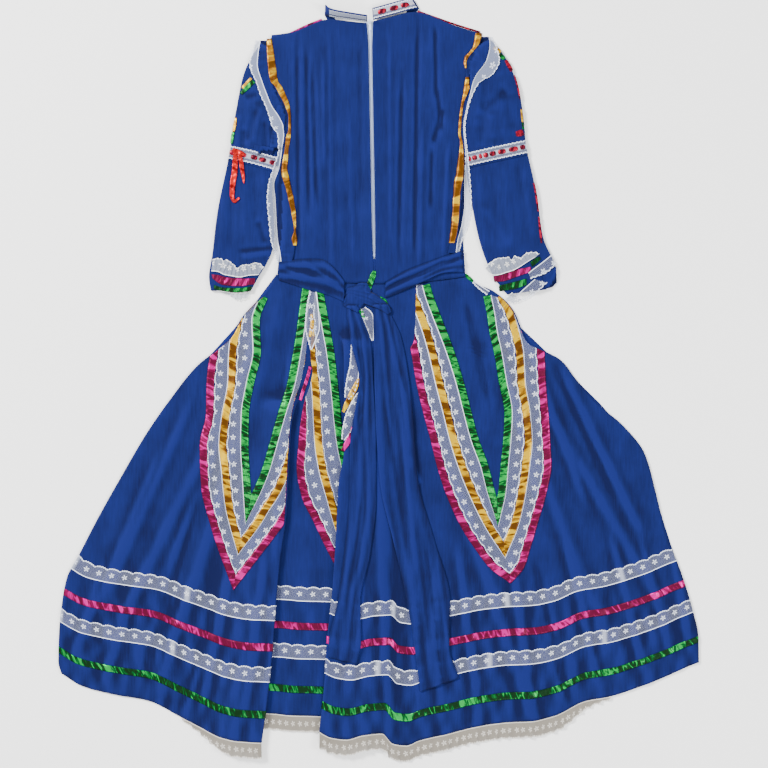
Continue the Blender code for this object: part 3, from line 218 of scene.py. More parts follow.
def set_ramp(colour: Socket, *stops: tuple[float, str]) -> None:
    """Give the colour ramp of an output its stops, as (place, hex colour) pairs.

    Args:
        colour: the ramp's output.
        stops: the place and the hex colour of each stop.
    """
    elements = colour.node.color_ramp.elements
    while len(elements) < len(stops):
        elements.new(0.5)
    for element, (place, tone) in zip(elements, stops):
        element.position, element.color = place, linear(tone)


@dataclass(frozen=True)
class Finish:
    """What the finish of one material has in common with the others."""

    name: str

    def make(self) -> bpy.types.Material:
        """Build the material.

        Returns:
            The new material.
        """
        made = bpy.data.materials.new(self.name)
        made.use_nodes = True
        fill(made.node_tree.nodes["Principled BSDF"], self.surface(partial(add, made.node_tree)))
        return made

    def surface(self, node: Callable[..., Socket]) -> dict[str, object]:
        """What goes into the surface shader; node adds a node to the material."""
        raise NotImplementedError


@dataclass(frozen=True)
class WovenCloth(Finish):
    """Plain woven polyester and cotton, dyed royal blue.

    Matte with a faint sheen at grazing angles, and a fine even weave with slubs along its warp.
    Shade is painted into its colour where it lies lower than the cloth around it, and light where it
    stands higher, as a layer of the mesh tells. Real threads are 0.35 mm apart; they are drawn 1.4 mm
    apart so that the weave shows from a step away.
    """

    deep: str = "#060B31"
    middle: str = "#0C1545"
    light: str = "#0F1951"
    thread_mm: float = 1.4
    slub_mm: float = 2.4
    slub_long: float = 0.08
    cloud_mm: float = 40.0
    crumple_mm: float = 9.0
    # How much painted shade the hollows get, and painted light the ridges.
    painted_hollow_shading: float = -0.42
    slubs_lighten: float = 0.5
    clouds_lighten: float = 0.45

    def surface(self, node: Callable[..., Socket]) -> dict[str, object]:
        """The dye by slubs and clouds, with painted shade in hollows and painted light on ridges, and the
        relief of weave and crumples.

        Args:
            node: adds a node to the material and gives its output.

        Returns:
            What goes into the surface shader.
        """
        place = node("TexCoord", out="Object")
        clouds = node("TexNoise", {
            "Vector": place, "Scale": 1 / (self.cloud_mm * MM), "Detail": 3.0, "Roughness": 0.5})
        slub = 1 / (self.slub_mm * MM)
        yarn = node("VectorMath", place, (slub, self.slub_long * slub, 0.0), operation="MULTIPLY")
        slubs = node("TexNoise", {"Vector": yarn, "Scale": 1.0, "Detail": 2.0})
        # Painted shade and light: lying below the cloth around darkens the dye, standing above it lightens
        # it.
        hollow_shading = node("Attribute", attribute_name=HOLLOW_SHADING_LAYER, out="Fac")
        shade = 0.25
        for part, share in ((hollow_shading, self.painted_hollow_shading), (slubs, self.slubs_lighten),
                            (clouds, self.clouds_lighten)):
            shade = node("Math", part, share, shade, operation="MULTIPLY_ADD")
        dye = node("ValToRGB", shade)
        set_ramp(dye, (0.36, self.deep), (0.72, self.middle), (1.0, self.light))
        warp, weft = (node("TexWave", {
            "Vector": place, "Scale": 0.5 / (self.thread_mm * MM), "Distortion": 1.5, "Detail": 2.0,
            "Detail Scale": 0.6}, bands_direction=direction, out="Fac") for direction in "XY")
        weave = node("Math", warp, weft, operation="MULTIPLY")
        crumple = node("TexNoise", {
            "Vector": place, "Scale": 1 / (self.crumple_mm * MM), "Detail": 5.0, "Roughness": 0.6})
        relief = node("Math", weave, 0.35, crumple, operation="MULTIPLY_ADD")
        bump = node("Bump", {"Height": relief, "Strength": 0.35, "Distance": 0.8 * MM})
        return {"Base Color": dye, "Normal": bump, "Roughness": 0.85, "Sheen Weight": 0.03,
                "Sheen Roughness": 0.5, "Specular IOR Level": 0.08}


@dataclass(frozen=True)
class FoilRibbon(Finish):
    """Satin ribbon woven with foil yarn, pulled a little uneven by its stitching.

    Light is painted into its colour. A painted dark tone stands for the even stretches that face away
    from the light, and slanting painted glints and dark streaks stand for where the stitching puckers it;
    they follow the strip's coordinates, not its relief. Those streaks are 4 to 16 mm wide, and groups of
    them follow each other every 20 to 60 mm. Of its fields, lit says how much of it gets painted glints.
    """

    dark: str
    middle: str
    bright: str
    glint_group_mm: float = 34.0
    lit: float = 0.5
    streak_mm: float = 4.4
    slant: float = 0.35
    metallic: float = 0.55

    def surface(self, node: Callable[..., Socket]) -> dict[str, object]:
        """The colour, with its painted shade and painted glints, and the relief, by its streaks.

        Args:
            node: adds a node to the material and gives its output.

        Returns:
            What goes into the surface shader.
        """
        strip = node("UVMap", uv_map="strip")
        along, across = (node("SeparateXYZ", strip, out=part) for part in "XY")
        slanted = node("Math", across, self.slant, along, operation="MULTIPLY_ADD")
        grouped, long, wide = (
            node("Math", part, scale / MM, operation="MULTIPLY") for part, scale in (
                (slanted, 1 / self.glint_group_mm), (slanted, 1 / self.streak_mm),
                (across, 0.3 / self.streak_mm)))
        # Where the painted glints gather; puckered below is that share of the colour, not the ribbon's
        # relief.
        groups = node("TexNoise", {"W": grouped, "Detail": 1.0, "Scale": 1.0},
                      noise_dimensions="1D")
        start = 0.5 - 0.12 * self.lit
        puckered = node("MapRange", groups, start, start + 0.1, **SOFT)
        place = node("CombineXYZ", long, wide)
        streaks = node("TexNoise", {"Vector": place, "Scale": 1.0, "Detail": 2.5, "Distortion": 0.7},
                       noise_dimensions="2D")
        spread = node("Math", streaks, 2.6, -0.95, operation="MULTIPLY_ADD")
        shade = node("Math", puckered, 0.32, spread, operation="MULTIPLY_ADD")
        # Painted light: the dark stop is painted shade, the bright one a painted glint.
        colour = node("ValToRGB", shade)
        set_ramp(colour, (0.34, self.dark), (0.58, self.middle), (0.8, self.bright))
        bump = node("Bump", {"Height": streaks, "Strength": 0.35, "Distance": 0.4 * MM})
        return {"Base Color": colour, "Normal": bump, "Metallic": self.metallic,
                "Roughness": 0.42, "Specular IOR Level": 0.2}


@dataclass(frozen=True)
class NylonLace(Finish):
    """Machine-made nylon edging lace.

    White thread on an open net, a flower of five petals in each scallop, a row of picots round the
    scallops and a flat cord where it is sewn on. The cloth below shows through the net. By default the
    white thread is drawn bluish grey, which is painted shade, and the flat net in a darker ground colour
    than the raised threads, partly painted shade. Real net has threads 1 mm apart; they are drawn 2 mm
    apart so that they show.
    """

    thread: str = "#CDD2E0"
    repeat_mm: float = 21.0
    width_mm: float = 25.0
    petal_mm: float = 5.0
    net_mm: float = 2.0
    net_cover: float = 0.2
    picot_mm: float = 3.5
    tuck_every_mm: float = 0.0
    tuck_mm: float = 11.0
    opaque: float = 0.0
    heading_mm: float = 0.0
    ground: str = "#BDC3D4"

    def surface(self, node: Callable[..., Socket]) -> dict[str, object]:
        """What its threads cover, and the colour and relief of those that stand up.

        Args:
            node: adds a node to the material and gives its output.

        Returns:
            What goes into the surface shader.
        """
        strip, edge = (node("VectorMath", {0: node("UVMap", uv_map=layer), "Scale": 1 / MM},
                            operation="SCALE") for layer in ("strip", "edge"))
        along, up = (node("SeparateXYZ", strip, out=part) for part in "XY")
        from_scallop, from_seam = (node("SeparateXYZ", edge, out=part) for part in "XY")
        half = 0.5 * self.repeat_mm
        cell = node("Math", along, half, -half, operation="WRAP")
        rise = node("Math", up, 0.5 * self.width_mm, operation="SUBTRACT")
        reach = node("VectorMath", node("CombineXYZ", cell, rise), operation="LENGTH", out="Value")
        turn = node("Math", node("Math", rise, cell, operation="ARCTAN2"), 2.5, operation="MULTIPLY")
        petals = node("Math", node("Math", turn, operation="SINE"), operation="ABSOLUTE")
        outline = node("Math", petals, self.petal_mm, operation="MULTIPLY")
        inside = node("MapRange", node("Math", outline, reach, operation="SUBTRACT"),
                      -0.2, 0.8, 0.0, 1.0, **SOFT)
        flower = node("Math", inside, node("MapRange", reach, 0.5, 1.1, 0.3, 0.8, **SOFT),
                      operation="MULTIPLY")
        net = node("TexVoronoi", {"Vector": strip, "Scale": 1 / self.net_mm, "Randomness": 0.5},
                   feature="DISTANCE_TO_EDGE", voronoi_dimensions="2D", out="Distance")
        mesh = node("MapRange", net, 0.04, 0.2, max(self.net_cover, self.opaque),
                    max(0.2 * self.net_cover, 0.8 * self.opaque), **SOFT)
        beads = node("Math", node("Math", along, 2 * math.pi / self.picot_mm, operation="MULTIPLY"),
                     operation="SINE")
        picots = node("Math", node("MapRange", from_scallop, 2.6, 1.2, 0.0, 1.0, **SOFT),
                      node("MapRange", beads, -0.9, 0.1, 0.45, 1.0, **SOFT), operation="MULTIPLY")
        raised = flower
        for part in (picots, node("MapRange", from_seam, 1.6, 1.0, 0.0, 1.0, **SOFT)):
            raised = node("Math", raised, part, operation="MAXIMUM")
        covers = [mesh]
        if self.heading_mm:
            side = 0.5 * self.heading_mm
            covers.append(node("MapRange", node("Math", rise, operation="ABSOLUTE"),
                               side + 0.6, side, 0.0, 0.5, **SOFT))
        if self.tuck_every_mm:
            end = 0.5 * self.tuck_every_mm
            away = node("Math", node("Math", along, end, -end, operation="WRAP"), operation="ABSOLUTE")
            covers.append(node("MapRange", away, 0.5 * self.tuck_mm, 0.0, 0.0, 0.5, **SOFT))
        cover = raised
        for part in covers:
            cover = node("Math", cover, part, operation="MAXIMUM")
        # Raised threads take the thread colour and the flat net the darker ground colour, partly painted
        # shade.
        tint = node("ValToRGB", raised)
        set_ramp(tint, (0.25, self.ground), (0.75, self.thread))
        bump = node("Bump", {"Height": cover, "Strength": 0.5, "Distance": 0.4 * MM})
        return {"Alpha": cover, "Normal": bump, "Base Color": tint, "Roughness": 0.7}


@dataclass(frozen=True)
class MouldedNylon(Finish):
    """White zip nylon: teeth, tape and slider, soft and slightly glossy."""

    colour: str = "#CBDCFF"
    roughness: float = 0.42
    grain_mm: float = 1.6

    def surface(self, node: Callable[..., Socket]) -> dict[str, object]:
        """The colour, with fine ribs across.

        Args:
            node: adds a node to the material and gives its output.

        Returns:
            What goes into the surface shader.
        """
        ribs = node("TexWave", {"Vector": node("TexCoord", out="Object"),
                                "Scale": 0.5 / (self.grain_mm * MM)}, bands_direction="Y", out="Fac")
        bump = node("Bump", {"Height": ribs, "Strength": 0.3, "Distance": 0.3 * MM})
        return {"Normal": bump, "Base Color": linear(self.colour), "Roughness": self.roughness}


# Each foil ribbon's painted dark tone, middle tone and painted glint.
GREEN_FOIL = ("#002407", "#00521D", "#008E38")
PINK_FOIL = ("#500024", "#790042", "#B50076")


class Stock(Enum):
    """What the maker bought for this dress, with the record's slot and its finish.

    Each ribbon gives its colours from its painted dark tone to its painted glint and then glint_group_mm,
    lit and streak_mm. Its row, cuff and root copies have fewer painted glints and more painted shade.
    """

    CLOTH = ("blue_cloth", WovenCloth("plain_woven_polyester_cotton"))
    LACE = ("white_lace", NylonLace("nylon_edging_lace"))
    TUCKED_LACE = ("white_lace", NylonLace(
        "nylon_edging_lace_tucked", tuck_every_mm=190.0, tuck_mm=16.0))
    RUFFLED_LACE = ("white_lace", NylonLace(
        "nylon_edging_lace_ruffled", "#DCDCDA", 14.0, opaque=0.58, ground="#9299A8"))
    WING_LACE = ("white_lace", NylonLace("nylon_edging_lace_wing", opaque=0.42, ground="#98A2BC"))
    HEM_LACE = ("white_lace", NylonLace(
        "nylon_edging_lace_hem", "#B4AEA4", 14.0, opaque=1.0, ground="#6E675C"))
    BEADING = ("white_lace", NylonLace(
        "nylon_beading_lace", repeat_mm=15.0, width_mm=21.0, petal_mm=0.1, net_cover=0.3,
        heading_mm=7.5))
    GREEN = ("green_satin", FoilRibbon("green_foil_satin", *GREEN_FOIL, 30.0, 0.8, 6.0))
    GREEN_ROW = ("green_satin", FoilRibbon("green_foil_satin_row_shaded", *GREEN_FOIL, 60.0, -0.6, 6.0))
    GREEN_CUFF = ("green_satin", FoilRibbon("green_foil_satin_cuff", *GREEN_FOIL, 24.0, -1.3, 7.0))
    PINK = ("pink_satin", FoilRibbon("pink_foil_satin", *PINK_FOIL, 36.0, 0.1, 8.0))
    PINK_ROW = ("pink_satin", FoilRibbon("pink_foil_satin_row_shaded", *PINK_FOIL, 50.0, -0.3, 8.0))
    PINK_CUFF = ("pink_satin", FoilRibbon("pink_foil_satin_cuff", *PINK_FOIL, 22.0, -1.1, 8.0))
    GOLD = ("gold_satin", FoilRibbon(
        "gold_foil_satin", "#502D00", "#936700", "#C29B00", 40.0, 0.6, 10.0))
    GOLD_ROOT = ("gold_satin", FoilRibbon(
        "gold_foil_satin_gathered_shaded", "#593200", "#955F07", "#C29B00", 46.0, -0.3, 16.0, 0.2))
    RED = ("red_satin", FoilRibbon(
        "threaded_red_satin", "#3F0012", "#65031D", "#950D27", 18.0, 0.3, metallic=0.6))
    CORAL = ("red_satin", FoilRibbon(
        "coral_red_satin", "#690000", "#950A07", "#AD1912", lit=0.8, streak_mm=7.0, metallic=0.6))
    NYLON = ("white_nylon", MouldedNylon("white_zip_nylon"))
    TAPE = ("white_nylon", MouldedNylon("woven_zip_tape", "#D6E4FA", 0.85, 0.9))
    SLIDER = ("white_nylon", MouldedNylon("painted_zip_slider", "#C4D0E2", 0.3, 4.0))

    def material(self) -> bpy.types.Material:
        """The finish as a material, made once."""
        return bpy.data.materials.get(self.value[1].name) or self.value[1].make()

    @property
    def slot(self) -> str:
        """The record's material slot."""
        return self.value[0]


# Meshes

def mark_hollow_shading(mesh: bpy.types.Mesh, rounds: int = 14, deep: float = 0.55 * MM) -> None:
    """Note on each point how far it lies below the cloth about it, from -1 on a ridge to 1, for painted
    shade.

    Args:
        mesh: the cloth.
        rounds: how often the heights are averaged, which sets how far about is looked.
        deep: the depth that counts as 1, the fullest painted shade, in metres.
    """
    count = len(mesh.vertices)
    height = points_of(mesh)[:, 2]
    ends = np.zeros(len(mesh.edges) * 2, np.int32)
    mesh.edges.foreach_get("vertices", ends)
    first, second = ends[::2], ends[1::2]
    neighbours = np.maximum(np.bincount(ends, minlength=count), 1)
    around = height
    for _ in range(rounds):
        total = np.bincount(first, around[second], count) + np.bincount(second, around[first], count)
        around = 0.5 * around + 0.5 * total / neighbours
    layer = mesh.attributes.new(HOLLOW_SHADING_LAYER, "FLOAT", "POINT")
    layer.data.foreach_set("value", np.clip((around - height) / deep, -1, 1).astype(np.float32))


def points_of(mesh: bpy.types.Mesh) -> Array:
    """A mesh's points, one in each row.

    Args:
        mesh: the mesh.

    Returns:
        An array with one row for each point.
    """
    points = np.zeros((len(mesh.vertices), 3))
    mesh.vertices.foreach_get("co", points.reshape(-1))
    return points


def placed(name: str, data: bpy.types.ID) -> Piece:
    """Put a new object with a mesh, a light or a camera into the scene.

    Args:
        name: the object's name.
        data: its mesh, light or camera.

    Returns:
        The object.
    """
    made = bpy.data.objects.new(name, data)
    bpy.context.scene.collection.objects.link(made)
    return made


def finish_piece(piece: Piece, stock: Stock, body: str, nodes: Sequence[str]) -> None:
    """Give a piece its finish, its body and the solids that it stands for.

    Args:
        piece: the finished object.
        stock: what it is made of.
        body: the body that it rides on.
        nodes: the solids that it replaces.
    """
    piece.data.materials.clear()
    piece.data.materials.append(stock.material())
    # Cloth gets the layer that paints shade into its hollows and light onto its ridges.
    if stock is Stock.CLOTH:
        mark_hollow_shading(piece.data)
    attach(piece, body)
    if nodes:
        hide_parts(*nodes)
    log.info("%s: %d faces, %s", piece.name, len(piece.data.polygons), stock.name.lower())


def grid_piece(name: str, grid: Array, stock: Stock, coordinates: Array | None = None,
               thick: float = 0.0, nodes: Sequence[str] = ()) -> Piece:
    """Make a sheet from a grid of places.

    Args:
        name: the piece's name.
        grid: (rows, columns, 3) places on the garment in millimetres.
        stock: what it is made of.
        coordinates: what strip_coordinates gives, for a lace or a ribbon.
        thick: its wall, in millimetres, or 0 for a single layer; lace is always a single layer.
        nodes: the solids that it replaces.

    Returns:
        The finished object.
    """
    rows, columns = grid.shape[:2]
    corners = (np.arange(rows - 1)[:, None] * columns + np.arange(columns - 1)).reshape(-1, 1)
    mesh = bpy.data.meshes.new(name)
    mesh.from_pydata(to_frame(grid).reshape(-1, 3).tolist(), [],
                     (corners + (0, 1, columns + 1, columns)).tolist())
    if coordinates is not None:
        flat = coordinates.reshape(rows * columns, -1) * MM
        loops = np.zeros(len(mesh.loops), np.int32)
        mesh.loops.foreach_get("vertex_index", loops)
        for start, layer_name in ((0, "strip"), (2, "edge")):
            layer = mesh.uv_layers.new(name=layer_name)
            layer.data.foreach_set("uv", flat[loops, start:start + 2].astype(np.float32).ravel())
    working = bmesh.new()
    working.from_mesh(mesh)
    slivers = [f for f in working.faces if f.calc_area() < SLIVER]
    bmesh.ops.delete(working, geom=slivers, context="FACES")
    bmesh.ops.dissolve_degenerate(working, dist=JOINED, edges=working.edges)
    if sum(f.normal.z * f.calc_area() for f in working.faces) < 0:
        bmesh.ops.reverse_faces(working, faces=working.faces)
    loose = [v for v in working.verts if not v.link_faces]
    bmesh.ops.delete(working, geom=loose, context="VERTS")
    working.to_mesh(mesh)
    working.free()
    mesh.shade_smooth()
    piece = placed(name, mesh)
    if thick and stock.slot != "white_lace":
        wall = piece.modifiers.new("wall", "SOLIDIFY")
        wall.thickness = thick * MM
        wall.offset = -1.0
    finish_piece(piece, stock, "root", nodes)
    return piece


class Ground:
    """The upper faces of finished pieces, which trims are laid on."""

    def __init__(self, pieces: Pieces, ceiling: float = 90.0) -> None:
        """Collect the faces.

        Args:
            pieces: finished objects.
            ceiling: the height that the faces are looked at from, in millimetres.
        """
        self.ceiling = ceiling
        points: list[Vector] = []
        faces: list[tuple[int, ...]] = []
        graph = bpy.context.evaluated_depsgraph_get()
        for piece in pieces:
            shown = piece.evaluated_get(graph).to_mesh()
            start = len(points)
            points += [Vector(place) for place in to_garment(points_of(shown))]
            faces += [tuple(start + k for k in face.vertices) for face in shown.polygons]
        self.tree = BVHTree.FromPolygons(points, faces)

    def height(self, across: float, down: float) -> float:
        """How high the faces are at one place, or 0 where there are none."""
        hit = self.tree.ray_cast(Vector((across, down, self.ceiling)), Vector((0.0, 0.0, -1.0)))[0]
        return hit.z if hit else 0.0

    def heights(self, grid: Array, spread: float = 0.9) -> Array:
        """Heights under a grid, smoothed but never below the faces.

        Args:
            grid: (rows, columns, 2) places in millimetres.
            spread: how far about each place is looked, in millimetres.

        Returns:
            (rows, columns) heights in millimetres.
        """
        around = ((0, 0), (spread, 0), (-spread, 0), (0, spread), (0, -spread))
        found = np.array([[max(self.height(x + a, y + d) for a, d in around) for x, y in row]
                          for row in grid])
        return np.maximum(found, smoothed(found))


def smoothed(values: Array) -> Array:
    """A table of heights, each averaged with its neighbours."""
    wide = np.pad(values, 1, mode="edge")
    return (4 * values + wide[:-2, 1:-1] + wide[2:, 1:-1] + wide[1:-1, :-2] + wide[1:-1, 2:]) / 8


# Creases

class Crease(NamedTuple):
    """A soft ridge, or a trough where its height is negative, from one place to another."""

    across: float
    down: float
    to_across: float
    to_down: float
    width: float
    height: float

    def relief(self, across: Array, down: Array) -> Array:
        """How much the crease lifts the cloth.

        Args:
            across: places across, in millimetres.
            down: places down, in millimetres.

        Returns:
            The lift at each place, in millimetres.
        """
        run = np.array([self.to_across - self.across, self.to_down - self.down])
        length = np.linalg.norm(run)
        heading = run / length
        east, south = across - self.across, down - self.down
        share = (east * heading[0] + south * heading[1]) / length
        off = east * heading[1] - south * heading[0]
        fade = ease(share / 0.25 + 0.4) * ease((1 - share) / 0.25 + 0.4)
        return self.height * fade * np.exp(-(off / (0.5 * self.width)) ** 2)


def relief_of(creases: Table, across: Array, down: Array) -> Array:
    """The lift of several creases, given as rows, in millimetres."""
    return sum((Crease(*row).relief(across, down) for row in creases), np.zeros_like(across))


def unevenness(across: Array, down: Array, size: float) -> Array:
    """The small waves that laid cloth keeps, the same each time.

    Args:
        across: places across, in millimetres.
        down: places down, in millimetres.
        size: their usual height, in millimetres.

    Returns:
        The lift at each place, in millimetres.
    """
    warp = 9 * np.sin(down / 61 + 0.7) + 6 * np.sin(down / 27 + across / 90)
    wave = np.sin((across + warp) / 8.3) * np.sin(down / 73 + across / 41 + 1.3)
    wave += 0.7 * np.sin((across - 0.6 * warp) / 14.7 + down / 117) * np.sin(down / 39 + 0.4)
    wave += 0.5 * np.sin(down / 11.9 + across / 23 + 0.02 * warp) * np.sin(across / 47 + 2.1)
    return size * wave


@dataclass
class ClothPanel:
    """One cut piece of the blue cloth, with the form of its solid and its own creases.

    Its cut is given in metres and square metres, and everything else in millimetres.
    """

    node: str
    levels: int = 2
    creases: Table = ()
    uneven: float = 0.2
    raised: float = 0.7
    rests_below: float = 0.0
    flat: tuple[float, float] | None = None
    area: float | None = None
    held: str = "laid"
    rests_on: str = ""
    piece: Piece | None = field(default=None, init=False)

    def build(self) -> None:
        """Refine the solid's form and press the creases into it."""
        working = bmesh.new()
        working.from_mesh(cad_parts[self.node].data)
        bmesh.ops.remove_doubles(working, verts=working.verts, dist=JOINED)
        bmesh.ops.join_triangles(
            working, faces=working.faces, cmp_seam=False, cmp_sharp=False, cmp_uvs=False,
            cmp_vcols=False, cmp_materials=False, angle_face_threshold=math.radians(35),
            angle_shape_threshold=math.radians(120))
        sharp = working.edges.layers.float.new("crease_edge")
        for edge in working.edges:
            if len(edge.link_faces) == 2 and edge.calc_face_angle() > math.radians(55):
                edge[sharp] = 1.0
        mesh = bpy.data.meshes.new(f"cloth_{self.node}")
        working.to_mesh(mesh)
        working.free()
        self.piece = placed(f"cloth_{self.node}", mesh)
        refine = self.piece.modifiers.new("refined", "SUBSURF")
        refine.levels = refine.render_levels = self.levels
        refine.boundary_smooth = "PRESERVE_CORNERS"
        graph = bpy.context.evaluated_depsgraph_get()
        fine = bpy.data.meshes.new_from_object(self.piece.evaluated_get(graph))
        self.piece.modifiers.clear()
        self.piece.data = fine
        bpy.data.meshes.remove(mesh)
        self.press(fine)
        fine.shade_smooth()
        finish_piece(self.piece, Stock.CLOTH, "root", [self.node])

    def press(self, mesh: bpy.types.Mesh) -> None:
        """Lift the mesh's points by the creases, less where the cloth rests.

        Args:
            mesh: the refined mesh.
        """
        places = to_garment(points_of(mesh))
        across, down, up = places.T
        lift = self.raised + relief_of(self.creases, across, down)
        lift = np.maximum(lift + unevenness(across, down, self.uneven), -0.2)
        if self.rests_below:
            lift *= ease((up - self.rests_below) / self.rests_below)
        places[:, 2] += lift
        mesh.vertices.foreach_set("co", to_frame(places).ravel())
        mesh.update()

    def declare(self, trims: Pieces = ()) -> None:
        """Does nothing; no flat cut is stated here, nor the trims sewn on it."""


# Strips of ribbon and lace

def measured_along(places: Array, line: Array) -> tuple[Array, Array]:
    """Measure places against a line.

    Args:
        places: (..., 2) places.
        line: the line's points; its first and last stretches are taken to run on.

    Returns:
        How far along the line each place is, and how far to its left.
    """
    reach = 90.0
    ends = line[[0, -1]] + reach * unit(line[[0, -1]] - line[[1, -2]])
    whole = np.vstack([ends[:1], line, ends[1:]])
    run = run_of(whole) - reach
    starts, steps = whole[:-1], np.diff(whole, axis=0)
    long, headings = np.linalg.norm(steps, axis=1), unit(steps)
    measured = []
    for place in places.reshape(-1, 2):
        away = place - starts
        share = np.clip(np.sum(away * headings, axis=1), 0, long)
        gap = np.sum((away - headings * share[:, None]) ** 2, axis=1)
        best = int(np.argmin(gap))
        (east, south), (left, right) = headings[best], away[best]
        measured.append((run[best] + share[best], east * right - south * left))
    along, off = np.array(measured).T
    return along.reshape(places.shape[:-1]), off.reshape(places.shape[:-1])


@dataclass
class Gathering:
    """The ripples that a strip's stitching gathers into it, in millimetres."""

    height: float = 0.0
    every: float = 11.0
    slant: float = 0.45

    def lift(self, along: Array, share: Array) -> Array:
        """How high the ripples stand.

        Args:
            along: places along the strip, in millimetres.
            share: places across it, from 0 to 1.

        Returns:
            The lift at each place, in millimetres.
        """
        phase = along / self.every + 0.35 * np.sin(along / 31.0) + 0.5 * np.sin(along / 83.0 + 1.0)
        strength = 0.5 + 0.5 * np.sin(along / 46.0 + 0.9 * np.sin(along / 19.0))
        waves = np.sin(2 * math.pi * (phase + self.slant * share))
        waves += 0.5 * np.sin(2 * math.pi * (2.3 * phase - 0.6 * share))
        middle = 0.5 + 0.5 * np.sin(math.pi * share)
        return self.height * (0.6 + 0.6 * waves * strength * middle)


@dataclass
class Trim:
    """A strip of ribbon or lace between two edges, laid down on finished pieces."""

    name: str
    stock: Stock
    near: Array
    far: Array
    ground: Ground
    nodes: Sequence[str] = ()
    columns: int = 5
    lift: float = 0.5
    thick: float = 0.3
    gathering: Gathering = field(default_factory=Gathering)
    scallop: float = 0.0
    scallop_mm: float = 21.0
    near_scalloped: bool = False
    low: Line | None = None
    high: Line | None = None
    spread: float = 0.9

    def build(self) -> Piece:
        """Lay the strip.

        Returns:
            The finished strip.
        """
        run = run_of(0.5 * (self.near + self.far))
        width = np.maximum(np.linalg.norm(self.far - self.near, axis=1), 1.0)
        inset = scalloped(run, self.scallop, self.scallop_mm) / width
        low = inset if self.near_scalloped else 0.0 * inset
        shares = np.linspace(0, 1, self.columns)
        grid = np.stack([blend(self.near, self.far, blend(low, 1 - inset, share)[:, None])
                         for share in shares], axis=1)
        for bound, keep in ((self.low, np.maximum), (self.high, np.minimum)):
            if bound:
                grid[..., 0] = keep(grid[..., 0], bound(grid[..., 1]))
        along, off = measured_along(grid, self.near)
        off = np.abs(off)
        up = self.ground.heights(grid, self.spread) + self.lift
        if self.gathering.height:
            up += self.gathering.lift(along, np.clip(off / off.max(), 0, 1))
        coordinates = strip_coordinates(along, off, shares, width * (1 - inset - low),
                                        self.near_scalloped)
        return grid_piece(self.name, np.dstack([grid, up]), self.stock, coordinates, self.thick,
                          self.nodes)


def strip_coordinates(along: Array, across: Array, shares: Array, width: Array,
                      both: bool = False) -> Array:
    """The coordinates that a lace's or ribbon's pattern follows, in millimetres.

    Args:
        along: places along the strip, (rows, columns) or (rows, 1).
        across: places across it, (rows, columns) or (1, columns).
        shares: each column's share of the way from the seam to the other edge.
        width: how wide the strip is at each row.
        both: whether both its edges are scalloped.

    Returns:
        (rows, columns, 4): along, across, from the scalloped edge and from the seam.
    """
    from_scallop = (1 - shares)[None, :] * width[:, None]
    from_seam = shares[None, :] * width[:, None]
    if both:
        from_scallop = np.minimum(from_scallop, from_seam)
        from_seam = np.full_like(from_seam, width.max())
    return np.stack(np.broadcast_arrays(along, across, from_scallop, from_seam), axis=-1)


def scalloped(run: Array, depth: float, every: float) -> Array:
    """How far a lace's edge is drawn in between its scallops.

    Args:
        run: places along the edge, in millimetres.
        depth: the depth of a scallop, in millimetres.
        every: the length of a scallop, in millimetres.

    Returns:
        The inset at each place, in millimetres.
    """
    bay = 1 - np.abs(np.cos(math.pi * run / every)) ** 0.6
    picot = 0.22 * (1 - np.abs(np.sin(5 * math.pi * run / every)))
    return depth * (0.85 * bay + picot)


@dataclass(frozen=True)
class Strip:
    """A short ribbon or lace, as rows of its middle line: across, down and width."""

    name: str
    stock: Stock
    rows: Table
    node: str = ""

    def lay(self, ground: Ground, **sizes: object) -> Piece:
        """Lay it down.

        Args:
            ground: what it lies on.
            sizes: other sizes of the trim.

        Returns:
            The finished strip.
        """
        line = line_through(self.rows, 1.2)
        near, far = (beside(line[:, :2], side * line[:, 2]) for side in (-0.5, 0.5))
        made = {"columns": 7, "lift": 0.6, "gathering": Gathering(0.3, 7.0), **sizes}
        if self.stock is Stock.LACE:
            made = {"scallop": 1.2, "scallop_mm": 7.0, **made}
        return Trim(self.name, self.stock, near, far, ground, [self.node] if self.node else [],
                    **made).build()


THREAD_SHARES = np.linspace(-1, 1, 9)


@dataclass(frozen=True)
class ThreadedRibbon:
    """A ribbon run in and out of beading lace, with a puff wherever it is out.

    A puff is its middle, along the ribbon, and half its length. Narrow and wide are half the
    ribbon's width behind the lace and in a puff, low and high are how high it lies there, and swell
    is how much higher the middle of a puff is.
    """

    name: str
    puffs: Table
    narrow: float
    wide: float
    low: float
    high: float
    swell: float
    width: float = 8.0

    def section(self, run: Array) -> tuple[Array, Array]:
        """Its columns at each place along it.

        Args:
            run: the places, in millimetres.

        Returns:
            How far off its middle line each column is, and how high.
        """
        out = np.zeros_like(run)
        for middle, half in self.puffs:
            out = np.maximum(out, 1 - np.clip(np.abs(run - middle) / half, 0, 1) ** 2)
        puffed = np.sqrt(out)[:, None]
        dome = np.sqrt(1 - 0.9 * THREAD_SHARES ** 2)
        return (THREAD_SHARES * blend(self.narrow, self.wide, puffed),
                blend(self.low, self.high + self.swell * dome, puffed))

    def piece(self, run: Array, grid: Array) -> Piece:
        """The finished ribbon on a grid of places that follow its section.

        Args:
            run: how far along it each row is.
            grid: (rows, columns, 3) places.

        Returns:
            The finished ribbon.
        """
        across = 0.5 * self.width * (1 + THREAD_SHARES[None, :])
        return grid_piece(self.name, grid, Stock.RED, strip_coordinates(
            run[:, None], across, THREAD_SHARES, np.full_like(run, self.width)))


# The skirt

@dataclass(frozen=True)
class Turn:
    """One level of the folded skirt and the next one under it, in millimetres."""

    low: float = 2.2
    turned: float = 7.0
    top: float = 10.0
    run_out: float = 70.0
    flat_step: float = 1.4
    stands: float = 3.0
    turns: float = 8.0
    least: float = 5.4


